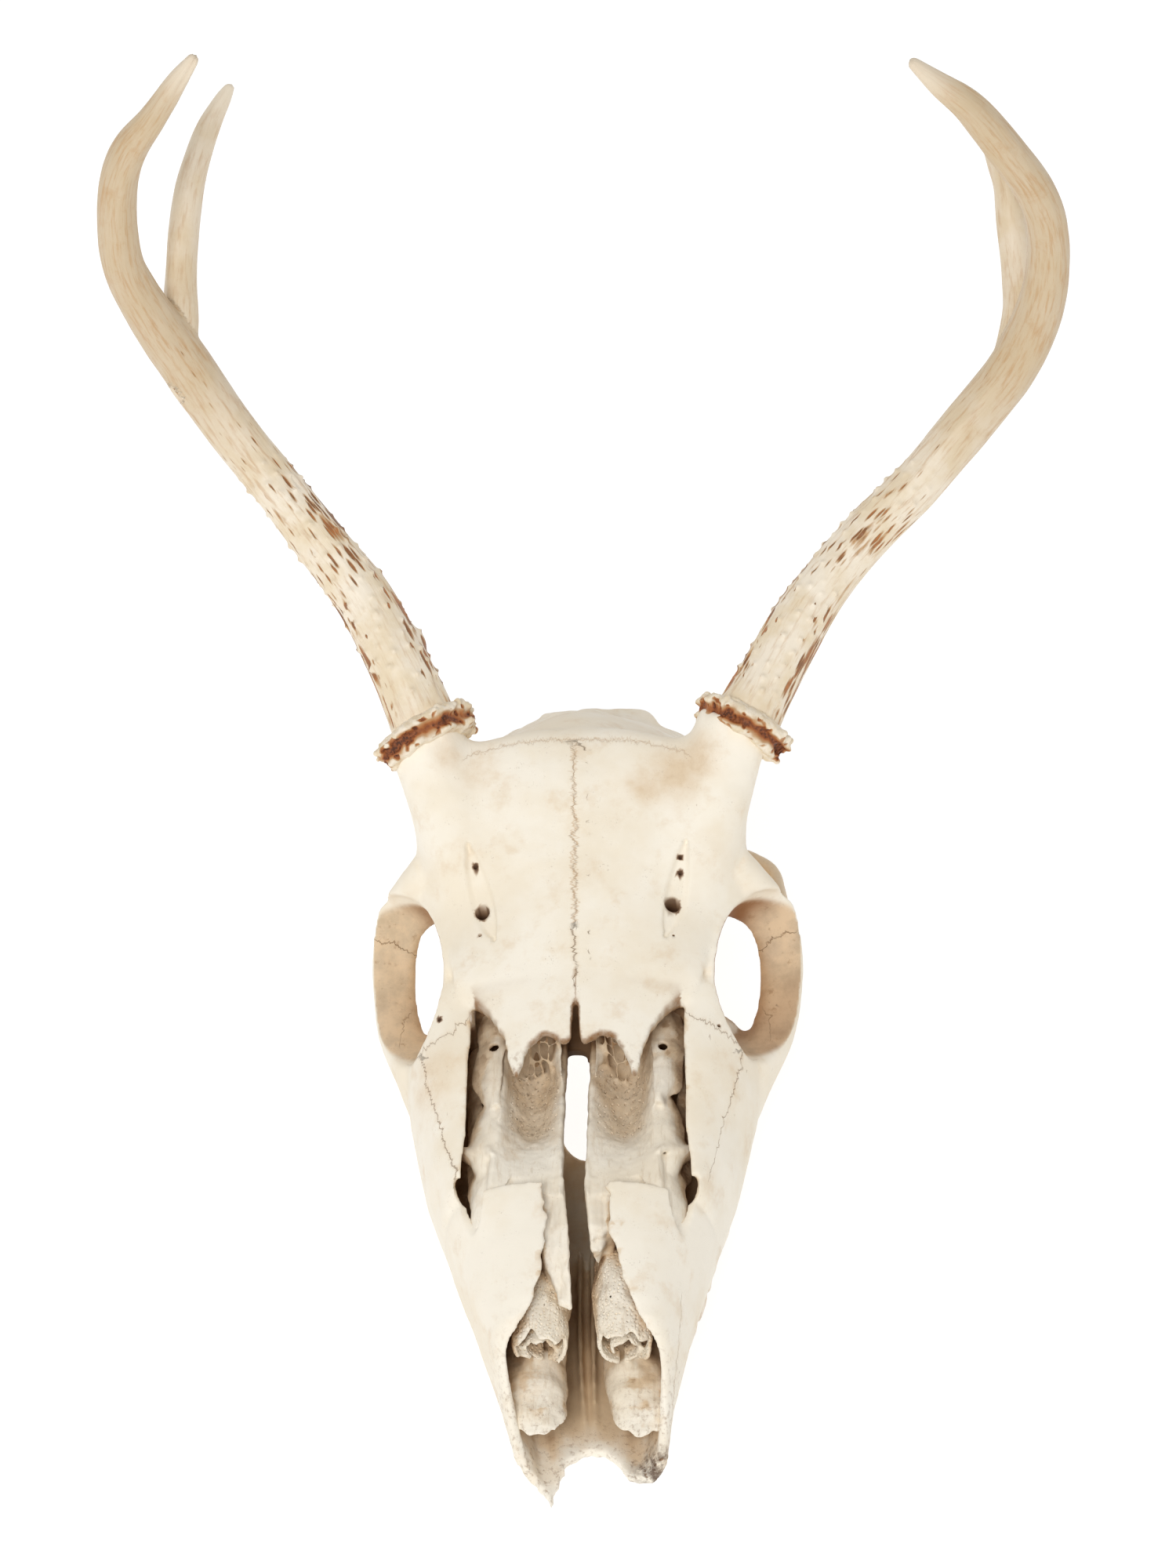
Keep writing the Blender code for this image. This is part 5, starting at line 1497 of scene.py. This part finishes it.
# middle of a stain, how far it reaches and how strong it is
# the two stains at y = -62 and -50 lie on the floor of the nose and the last one on the left cheek arch:
# there a stain is partly painted shade
STAINS = [((23.8, 60.2, 91.3), 8, 0.85), ((18.1, 57.7, 91.2), 7, 0.7), ((29.6, 62.7, 95), 7, 0.8),
          ((-24.1, 62, 92), 7, 0.5), ((-31.4, 63.7, 96), 6, 0.55), ((30, 50, 78), 10, 0.3),
          ((-27, 49, 78), 9, 0.25), ((3, 40, 81), 7, 0.25), ((-18, 57, 91), 7, 0.3), ((36, 3, 50), 8, 0.25),
          ((-34, 0, 48), 12, 0.6), ((11, 2, 42), 9, 1.0), ((-11, 2, 42), 9, 1.0), ((11, -9, 42), 8, 0.8),
          ((-11, -9, 42), 8, 0.8), ((0, -62, 4), 13, 0.8), ((0, -50, 3), 16, 0.8), ((20, -82, 8), 5, 0.8),
          ((-10, -84, 6), 6, 0.5), ((47, 75, 42), 14, 1.2)]
DIRTY_END = (16.8, -85, 4.5)     # a dark ragged spot on the left front end
NO_SEAM = 4.0                   # mm; no mark is left further from a seam than this


def seam_place(points, facing):
    """For each point: signed distance to the nearest seam, and how far along the seam it lies."""
    best = np.full(len(points), NO_SEAM)
    along, clear = np.zeros(len(points)), np.zeros(len(points))
    start_at = 0.0
    for strength, line in SEAMS:
        line = flow(line, 4)
        low, high = line.min(axis=0) - NO_SEAM, line.max(axis=0) + NO_SEAM
        near = np.flatnonzero(((points > low) & (points < high)).all(axis=1))
        mine, normal = points[near], facing[near]
        for a, b in zip(line[:-1], line[1:]):
            way = b - a
            length = np.linalg.norm(way)
            t = np.clip((mine - a) @ way / length ** 2, 0, 1)
            offset = mine - a - t[:, None] * way
            distance = np.linalg.norm(offset, axis=1)
            side = np.sign(np.sum(offset * np.cross(way / length, normal), axis=1))
            closer = distance < abs(best[near])
            best[near[closer]] = np.where(side < 0, -distance, distance)[closer]
            along[near[closer]] = (start_at + t * length)[closer]
            clear[near[closer]] = strength
            start_at += length
        start_at += 20
    return best, along, clear * (1 - fade(abs(best), 2.4, 3.4))


def stain_at(points):
    """How stained each point is; on the floor of the nose and on the left cheek arch this is partly painted
    shade.
    """
    total = np.zeros(len(points))
    for middle, reach, strength in STAINS:
        away = np.linalg.norm((points - middle) / reach, axis=1)
        total = np.maximum(total, strength * np.exp(-away ** 2))
    return total


print("seams:", len(SEAMS), "stains:", len(STAINS))


# %% Marks on every point
def socket_marks(points, facing):
    """Where the inner wall of a socket is, and how much painted shade it gets, with the left socket browner
    all round.
    """
    side = np.column_stack((np.sign(points[:, 0]), np.ones((len(points), 2))))
    from_middle = points * side - ORBIT_MIDDLE
    depth = -(from_middle @ ORBIT_OUT)
    aside = from_middle + depth[:, None] * ORBIT_OUT
    inward = -np.sum(aside * facing * side, axis=1) / (np.linalg.norm(aside, axis=1) + 1e-6)
    wall = fade(depth, -0.5, 1.0) * (1 - fade(depth, 14, 24)) * fade(inward, 0.1, 0.5)
    height = aside @ (np.array(ORBIT_TOP) / np.linalg.norm(ORBIT_TOP))
    ahead = aside @ (np.array(ORBIT_ALONG) / np.linalg.norm(ORBIT_ALONG))
    wall = wall * (1 - fade((height / 17.3) ** 2 + (ahead / 22.2) ** 2, 0.92, 1.06))
    # painted shade under the brow, deep in and low on the wall; the left socket is browner all round as well
    dark = 0.9 * fade(height, 0, 13) * fade(depth, 0, 4) + 0.3 * fade(depth, 6, 12)
    return wall, dark + 0.3 * fade(-height, 8, 14) + 0.35 * (points[:, 0] > 0)


def hole_mark(points):
    """How deep each point lies in a canal, a pinhole or the slot between the scrolls, from 0 to 1, for
    painted shade.
    """
    x, y, z = points.T
    hole = 0.75 * fade(7.5 - abs(x), 0, 1.5) * fade(y, 8, 13) * (y < 26) * fade(59 - z, 0, 3) * (z > 30)
    way = CANAL_WAY / np.linalg.norm(CANAL_WAY)
    for place, diameter, depth in CANALS:
        offset = points - np.array(place)
        below = offset @ way
        aside = np.linalg.norm(offset - below[:, None] * way, axis=1)
        inside = (aside < diameter / 2 + 0.3) * (below < depth + 1)
        pinhole = (diameter < 1.5) * (aside < diameter / 2 - 0.1) * (abs(below) < 2)
        hole = np.maximum(hole, np.maximum(inside * fade(below, -0.2, 0.6 + 0.8 * diameter), pinhole))
    return hole


def mark_bone(thing):
    """Store everything that a bone material reads on an object that is still in the skull's frame."""
    points, facing = points_of(thing), normals_of(thing)
    x, y, z = points.T
    seam, along, clear = seam_place(points, facing)
    socket, socket_dark = socket_marks(points, facing)
    broken = fade(-y, 60, 84) + fade(-y, -3, 6) * (z > 56) * (abs(x) < 22)
    dirty = np.exp(-np.sum((points - DIRTY_END) ** 2, axis=1) / 40)
    rim = fade(-facing[:, 1], 0.35, 0.85) * fade(z, 52, 55) * fade(-y, -17.5, -15) * (abs(x) < 25)
    split = fade(abs(facing[:, 0]), 0.4, 0.8) * (abs(x) < 2.4) * (z > 52) * (y < 18)
    # the shut-in places, the socket walls and the holes are marked for painted shade, and some stains stand
    # partly for painted shade
    mark(thing, hollow=carried(shut_points, shut_values, points + facing * 0.3),
         seam=seam, seam_along=along, seam_near=clear, socket=socket, socket_dark=socket_dark,
         stain=stain_at(points), broken=np.clip(broken, 0, 1) + 1.5 * dirty, rim=np.maximum(rim, split),
         grime=fade(y, 84, 104) * fade(70 - z, 0, 22), hole=hole_mark(points))


print("deepest hole mark:", hole_mark(points_of(bone)).max().round(2))

# %% [markdown]
# ## Two halves
# The bone's skin has more triangles than one piece should hold. So it is parted at the midline, where a
# real skull has its seam anyway, and each half is closed there by a flat wall. Then each half is
# thinned, which keeps the detail where the surface bends. The edges of the wall are marked sharp, so
# that the shading doesn't bend towards it and the two halves meet without a line.

# %% Thin, part and mark
MOST = 190000                   # triangles in one piece


def thinned(thing, most=MOST):
    """Thin an object until it has no more than a number of triangles."""
    share = most / faces_of(thing)
    if share < 1:
        step = thing.modifiers.new("thin", "DECIMATE")
        step.ratio = share
        bake(thing)
    return thing


def half(name, sign):
    """A copy of one side of the bone, closed at the midline."""
    thing = copy_of(bone, name)
    corners = [(0, -150), (90 * sign, -150), (90 * sign, 180), (0, 180)]
    cut(thing, [slab(corners, -60, 160)], "INTERSECT")
    thinned(thing, MOST)
    points = points_of(thing)
    points[abs(points[:, 0]) < 0.04, 0] = 0
    set_points(thing, points)
    bm = bmesh.new()
    bm.from_mesh(thing.data)
    for edge in bm.edges:
        if abs(edge.verts[0].co.x) < 1e-4 and abs(edge.verts[1].co.x) < 1e-4:
            edge.smooth = False
    bm.to_mesh(thing.data)
    bm.free()
    return thing


bone_points = points_of(bone)
bone_points[:, 2] = np.maximum(bone_points[:, 2], floor_height(bone_points[:, 1]))
set_points(bone, bone_points)
halves = {side: half("skull_" + side, sign) for side, sign in SIGN.items()}
bpy.data.objects.remove(bone)
for thing in halves.values():
    mark_bone(thing)
for thing in scrolls.values():
    mark_bone(thinned(thing))
print("halves:", {side: faces_of(thing) for side, thing in halves.items()})

# %% [markdown]
# ## Writing a material as sums
# A node tree is a formula drawn as boxes. With a small class that stands for a socket, it can be written
# as one: `0.5 + 0.2 * noise`. Each sign adds a Math node, and `add` makes any other node. Colours go on
# like paint: `over` lays one more over what is there, as strongly as a pattern says.

# %% A socket that can be reckoned with
class Value:
    """A socket of a material, with the signs of arithmetic."""

    def __init__(self, look, socket):
        self.look = look
        self.socket = socket

    def math(self, kind, *others):
        """A Math node of a kind on this value and others."""
        made = self.look.add("ShaderNodeMath", {"operation": kind})
        for place, value in enumerate((self, *others)):
            self.look.feed(made.inputs[place], value)
        return Value(self.look, made.outputs[0])

    def __add__(self, other):
        return self.math("ADD", other)

    def __sub__(self, other):
        return self.math("SUBTRACT", other)

    def __mul__(self, other):
        return self.math("MULTIPLY", other)

    def __rsub__(self, other):
        return (self * -1.0) + other

    def __abs__(self):
        return self.math("ABSOLUTE")

    __radd__ = __add__
    __rmul__ = __mul__

    def ramp(self, low, high):
        """0 below low, 1 above high, smooth between."""
        made = self.look.add("ShaderNodeMapRange", {"interpolation_type": "SMOOTHSTEP"}, Value=self)
        made.inputs["From Min"].default_value = low
        made.inputs["From Max"].default_value = high
        return Value(self.look, made.outputs["Result"])


# %% A material under construction
class Look:
    """A material that is built up step by step."""

    def __init__(self, name, roughness, specular):
        self.material = bpy.data.materials.new(name)
        self.material.use_nodes = True
        self.tree = self.material.node_tree
        self.shader = self.tree.nodes["Principled BSDF"]
        self.shader.inputs["Roughness"].default_value = roughness
        self.shader.inputs["Specular IOR Level"].default_value = specular
        self.here = self.add("ShaderNodeTexCoord").outputs["Object"]

    def feed(self, socket, value):
        """Give a socket a value, a socket or a plain number."""
        feed(self.tree, socket, value.socket if isinstance(value, Value) else value)

    def add(self, kind, settings=None, **inputs):
        """Any node, with its settings made first and its sockets fed by name."""
        made = node(self.tree, kind, settings)
        for key, value in inputs.items():
            self.feed(made.inputs[key.replace("_", " ")], value)
        return made

    def read(self, name):
        """An attribute stored on the mesh."""
        return Value(self, self.add("ShaderNodeAttribute", {"attribute_name": name}).outputs["Fac"])

    def noise(self, scale, detail=3.0, rough=0.55, place=None):
        """Noise between 0 and 1; the scale counts bumps per metre."""
        made = self.add("ShaderNodeTexNoise", Vector=place or self.here, Scale=float(scale), Detail=detail,
                        Roughness=rough)
        return Value(self, made.outputs["Fac"])

    def stretched(self, x, y, z):
        """The place on the object, squeezed by a factor along each axis."""
        return self.add("ShaderNodeMapping", Vector=self.here, Scale=(x, y, z)).outputs["Vector"]

    def cells(self, scale, place=None):
        """Distance to the middle of the nearest of many random cells."""
        made = self.add("ShaderNodeTexVoronoi", Vector=place or self.here, Scale=float(scale))
        return Value(self, made.outputs["Distance"])

    def mix(self, share, one, other):
        """A colour between two, which are colours or other mixes."""
        made = self.add("ShaderNodeMix", {"data_type": "RGBA"})
        self.feed(made.inputs[0], share)
        for place, colour in ((6, one), (7, other)):
            self.feed(made.inputs[place], colour if isinstance(colour, Value) else (*colour, 1.0))
        return Value(self, made.outputs[2])

    def over(self, share, colour):
        """Lay a colour over what the material has so far, as strongly as its share says."""
        self.colour = self.mix(share, self.colour, colour)

    def finish(self, height, depth, roughness=None):
        """Feed the shader with the colour, a relief of a depth in metres, and a roughness."""
        self.feed(self.shader.inputs["Base Color"], self.colour)
        bump = self.add("ShaderNodeBump", Height=height, Strength=1.0, Distance=depth)
        self.feed(self.shader.inputs["Normal"], bump.outputs["Normal"])
        if roughness is not None:
            self.feed(self.shader.inputs["Roughness"], roughness)
        return self.material


def paint(red, green, blue):
    """A colour as a screen shows it, turned into light for the shader."""
    return tuple(((v / 255 + 0.055) / 1.055) ** 2.4 if v > 10 else v / 255 / 12.92
                 for v in (red, green, blue))


print("cream in linear light:", [round(v, 3) for v in paint(243, 234, 214)])

# %% [markdown]
# ## Bone
# Clean dry bone is a warm cream, a little blotchy, almost matt, with a very fine grain of pores. The
# forehead is palest. Shut-in places get painted shade, tan and then brown. The seams are thin brown
# zigzags in a tan band, the faint ones a lace of two fine strands, and broken edges show a coarser,
# dirtier sponge.

# %% Bone and nose bone
CREAM = paint(250, 242, 226)
IVORY = paint(244, 232, 210)
TAN = paint(220, 190, 150)
# brown for painted shade in shut-in places, sockets and holes, and for seams, pores and dirt
SHADE = paint(150, 110, 72)
# dark brown for painted shade deepest in shut-in places and holes, and for dark dirt
DEEP = paint(84, 54, 32)
# tan of soil stains and streaks, and of painted shade in some stains and on the socket walls
SOIL = paint(198, 172, 136)
GREY = paint(218, 200, 174)
# tan of the socket walls, partly their own colour and partly painted shade
SOCKET_TAN = paint(228, 196, 154)
# brown for the painted shade on the socket walls, and for the left socket's browner wall
UMBER = paint(146, 96, 54)
DUN = paint(158, 134, 106)
DARK_DUN = paint(108, 84, 62)
# tan of the stains, partly painted shade on the floor of the nose and on the left cheek arch
STAIN = paint(222, 194, 156)
SEAM_TAN = paint(190, 150, 104)


def nose_tints(look, grey):
    """Streaks and grey blotches on the thin bone of the nose, most of them in the dish."""
    dish = look.read("stain")
    look.over(dish * 0.4, GREY)
    streak = look.noise(760, 4, 0.65, look.stretched(1, 0.1, 1))
    look.over(streak.ramp(0.5, 0.7) * 0.3, SOIL)
    look.over(look.noise(160, 5, 0.7).ramp(0.36, 0.6) * (0.03 + dish * grey), GREY)
    look.over(look.noise(330, 6, 0.75).ramp(0.48, 0.64) * (0.04 + dish * grey) * 0.36, DUN)
    look.over(look.noise(760, 5, 0.75).ramp(0.54, 0.64) * (0.02 + dish * grey) * 0.7, DARK_DUN)


def socket_tints(look, patch):
    """Tan and brown on the socket walls, partly their own colour and partly painted shade, and painted shade
    in holes.
    """
    socket = look.read("socket")
    # tan on the socket walls, partly their own colour and partly painted shade
    look.over(socket * 0.8, look.mix(patch.ramp(0.35, 0.65), SOCKET_TAN, SOIL))
    # brown painted shade on the socket walls, and the left socket browner all round
    look.over(socket * (look.read("socket_dark") + patch * 0.3 - 0.15).ramp(0.1, 1.3), UMBER)
    look.over(socket * look.noise(330, 5, 0.7).ramp(0.56, 0.72) * 0.5, SHADE)
    # painted shade in the canals, the pinholes and the slot between the scrolls: brown, dark brown deeper in
    look.over(look.read("hole").ramp(0.0, 0.7) * 0.8, SHADE)
    look.over(look.read("hole").ramp(0.4, 1.0) * 0.9, DEEP)


def edge_tints(look):
    """Tan low on the back of the braincase, and dirt on the broken edges; gives back the pattern of their
    sponge.
    """
    grime = look.read("grime") * look.noise(90, 5, 0.7).ramp(0.4, 0.75)
    look.over(grime * 0.4, TAN)
    broken = look.read("broken") * look.noise(700, 4, 0.7).ramp(0.5, 0.72)
    look.over(broken * 0.55, SHADE)
    look.over(look.read("rim") * (0.35 + look.noise(420, 4, 0.7)), SHADE)
    dirt = (look.read("broken") - 1.0).ramp(0.0, 0.9) * look.noise(260, 5, 0.75).ramp(0.35, 0.6)
    look.over(dirt * 0.9, DEEP)
    return broken


def seam_tints(look):
    """Zigzags in a tan band, and a lace of strands where a seam is faint; gives back the fine line."""
    place = look.add("ShaderNodeCombineXYZ", X=look.read("seam_along") * 0.001, Y=0.0371, Z=0.0127).outputs[0]
    distance, in_reach = look.read("seam"), look.read("seam_near")
    zigzag = abs(distance + (look.noise(520, 3, 0.7, place) - 0.5) * 6.0)
    fine = (1.0 - zigzag.ramp(0.02, 0.3)) * in_reach
    look.over((1.0 - zigzag.ramp(0.2, 1.3)) * in_reach * 0.22, TAN)
    look.over(fine * look.noise(330, 3, 0.6, place).ramp(0.3, 0.5) * 0.62, SHADE)
    laced = in_reach.ramp(0.05, 0.5) * (1.0 - in_reach.ramp(0.5, 0.62))
    for pitch, swing in ((1300, 4.5), (2300, 5.5)):
        strand = abs(distance + (look.noise(pitch, 2, 0.6, place) - 0.5) * swing)
        look.over((1.0 - strand.ramp(0.05, 0.4)) * laced * 0.42, SEAM_TAN)
    return fine


def bone_look(name, hollow_low, hollow_high, grey=0.0):
    """The bone's material; the two limits say where the painted shade of shut-in places turns tan and brown.
    """
    look = Look(name, 0.55, 0.3)
    blotch, patch, grain = look.noise(38, 4, 0.6), look.noise(120, 5, 0.65), look.noise(1500, 4, 0.6)
    look.colour = look.mix(blotch.ramp(0.38, 0.66), CREAM, IVORY)
    look.over(patch.ramp(0.52, 0.75) * 0.35, TAN)
    # painted shade: tan, then brown, then dark brown, the more shut in a place is
    hollow = look.read("hollow") + (patch - 0.5) * 0.25
    look.over(hollow.ramp(hollow_low - 0.35, hollow_low + 0.05) * 0.8, TAN)
    look.over(hollow.ramp(hollow_low, hollow_high) * 0.85, SHADE)
    look.over(hollow.ramp(hollow_high - 0.08, hollow_high + 0.12) * 0.9, DEEP)
    # stains, which on the floor of the nose and the left cheek arch are partly painted shade
    stain = look.read("stain") * (0.3 + look.noise(150, 6, 0.7) * 1.4)
    look.over(stain.ramp(0.1, 0.9) * 0.7, STAIN)
    look.over(stain.ramp(0.3, 1.0) * look.noise(300, 5, 0.75).ramp(0.45, 0.7) * 0.25, SOIL)
    if grey:
        nose_tints(look, grey)
    socket_tints(look, patch)
    broken = edge_tints(look)
    fine = seam_tints(look)
    speck = (1.0 - look.cells(1900).ramp(0.05, 0.26)) * look.noise(220, 4, 0.7).ramp(0.5, 0.7)
    look.over(speck * 0.3, SHADE)
    height = grain * 0.35 + patch * 0.5 - speck * 0.8 - fine * 1.5 - broken * 0.8
    roughness = 0.5 + patch * 0.16 + hollow.ramp(0.3, 0.9) * 0.15
    return look.finish(height, 0.00012, roughness)


bone_material = bone_look("bone", 0.5, 0.84)
nose_material = bone_look("nose_bone", 0.69, 1.0, 0.9)
print("bone:", len(bone_material.node_tree.nodes), "nodes")

# %% [markdown]
# ## Antler, burr and enamel
# Antler is denser than bone and takes a slight polish. Its gutters keep a brown stain, their edges fade
# through tan, and the rubbed tips are bare and pale. The burr has the same brown in its groove, redder and
# deeper. Enamel is the only glossy surface, cream with brown lines in its folds.

# %% Antler and burr
ANTLER = paint(233, 215, 184)
ANTLER_DARK = paint(200, 177, 142)
ANTLER_PALE = paint(245, 233, 213)
GUTTER = paint(128, 80, 42)
GUTTER_EDGE = paint(190, 146, 96)
BURR_RUST = paint(182, 112, 58)
BURR_RED = paint(128, 64, 30)
BURR_DEEP = paint(70, 38, 22)


def on_beam(look, share):
    """The place round the beam in metres, and along it squeezed, so that what is drawn there runs long."""
    return look.add("ShaderNodeCombineXYZ", X=look.read("round_x") * 0.001, Y=look.read("round_y") * 0.001,
                    Z=look.read("along") * share).outputs[0]


def antler_look():
    """The antler's material, whose grain runs along the beam."""
    look = Look("antler", 0.42, 0.4)
    place = on_beam(look, 0.00014)
    streak = look.noise(900, 4, 0.65, place)
    broad = look.noise(90, 4, 0.6)
    fine = look.noise(2200, 3, 0.6, place)
    look.colour = look.mix(broad.ramp(0.35, 0.65), ANTLER_PALE, ANTLER)
    upper = look.read("upper")
    look.over(upper * 0.8, ANTLER_DARK)
    look.over(upper * streak.ramp(0.42, 0.7) * 0.4, GUTTER_EDGE)
    look.over(upper * look.noise(160, 5, 0.7).ramp(0.52, 0.75) * 0.45, GUTTER_EDGE)
    look.over(streak.ramp(0.5, 0.7) * (0.3 + look.read("tint") * 0.5), GUTTER_EDGE)
    look.over(look.read("tip") * 0.6, ANTLER_PALE)
    tint = look.read("tint")
    lens = on_beam(look, 0.00016)
    large = tint * 0.35 - look.cells(400, lens) + (streak - 0.5) * 0.35
    small = tint * 0.5 - look.cells(820, lens) + (streak - 0.5) * 0.35
    tinted = tint.ramp(0.02, 0.12)
    edge = (1.0 - (1.0 - large.ramp(-0.14, 0.02)) * (1.0 - small.ramp(-0.12, 0.02))) * tinted
    core = (1.0 - (1.0 - large.ramp(0.0, 0.08)) * (1.0 - small.ramp(0.0, 0.08))) * tinted
    look.over(edge * 0.85, GUTTER_EDGE)
    look.over(core * 0.9, look.mix(broad.ramp(0.4, 0.6), GUTTER, BURR_RUST))
    height = streak * 0.35 + fine * 0.2 - edge * 0.5 - core * 0.5
    return look.finish(height, 0.00022, 0.36 + streak * 0.2)


def burr_look():
    """The burr's material: pale above, red brown in the groove."""
    look = Look("burr", 0.5, 0.35)
    broad = look.noise(300, 5, 0.65)
    fine = look.noise(1400, 4, 0.65)
    look.colour = look.mix(broad.ramp(0.4, 0.62), ANTLER_PALE, ANTLER)
    gutter = look.read("gutter") * (0.6 + broad * 0.8)
    look.over(gutter.ramp(0.0, 0.35) * 0.85, GUTTER_EDGE)
    look.over(gutter.ramp(0.2, 0.75), BURR_RUST)
    look.over(gutter.ramp(0.5, 0.95) * (0.35 + fine * 0.9), BURR_RED)
    look.over(gutter.ramp(0.75, 1.1) * fine.ramp(0.4, 0.6), BURR_DEEP)
    return look.finish(fine * 0.7 + broad * 0.6, 0.00025, 0.42 + fine * 0.2)


def enamel_look():
    """The teeth's material."""
    look = Look("enamel", 0.25, 0.5)
    broad = look.noise(140, 4, 0.6)
    streak = look.noise(700, 4, 0.65, look.stretched(1, 1, 0.2))
    look.colour = look.mix(broad.ramp(0.35, 0.65), paint(244, 233, 216), paint(226, 206, 176))
    look.over(streak.ramp(0.5, 0.72) * 0.45, paint(170, 126, 86))
    look.over(look.read("dirt").ramp(0.25, 0.9) * 0.85, paint(96, 62, 38))
    return look.finish(streak, 0.00012, 0.22 + broad * 0.2)


antler_material, burr_material, enamel_material = antler_look(), burr_look(), enamel_look()

GLOW = 0.78                     # how much of its light the floor gives itself

floor_look = Look("floor", 0.9, 0.1)
floor_look.shader.inputs["Emission Color"].default_value = (1, 1, 1, 1)
floor_look.shader.inputs["Emission Strength"].default_value = GLOW
floor_look.colour = floor_look.mix(floor_look.noise(3), (0.38, 0.38, 0.38), (0.4, 0.4, 0.4))
floor_mesh.materials.append(floor_look.finish(floor_look.noise(400), 0.00001))
print("materials:", [material.name for material in bpy.data.materials])

# %% [markdown]
# ## Onto the floor
# Every piece is still in the skull's frame. Now its points go to their places on the floor, it gets its
# material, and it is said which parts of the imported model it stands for. Nothing moves, so all of
# it rides on the one body.

# %% Place, dress and hand over
MIDDLE_NODE = {"left": "braincase", "right": "sphenoid"}


def hand_over(thing, name, material, nodes):
    """Put a finished piece on the floor, in its material and in place of its nodes."""
    thing.name = name
    set_points(thing, to_floor(points_of(thing)))
    thing.data.materials.clear()
    thing.data.materials.append(material)
    thing.data.polygons.foreach_set("material_index", np.zeros(len(thing.data.polygons), int))
    thing.data.polygons.foreach_set("use_smooth", np.ones(len(thing.data.polygons), bool))
    thing.data.update()
    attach(thing, "root")
    if nodes:
        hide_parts(*nodes)


print("nodes:", sorted(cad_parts))
for side in SIGN:
    hand_over(halves[side], "skull_" + side, bone_material,
              [MIDDLE_NODE[side], "frontal_" + side, "eye_socket_" + side, "maxilla_" + side])
    hand_over(tooth_rows[side], "teeth_" + side, enamel_material, [])
    hand_over(scrolls["upper_scroll_" + side], "nose_shelf_" + side, nose_material,
              ["upper_scroll_" + side])
    hand_over(scrolls["lower_scroll_" + side], "nose_roll_" + side, nose_material,
              ["lower_scroll_" + side])
    hand_over(burrs[side], "antler_burr_" + side, burr_material, ["burr_" + side])
    hand_over(antlers[side], "antler_branch_" + side, antler_material,
              ["beam_" + side, "branch_" + side, "tine_" + side])

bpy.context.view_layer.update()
shown = [thing for thing in scene.objects if thing.type == "MESH" and not thing.hide_render]
print("triangles:", sum(faces_of(thing) for thing in shown))
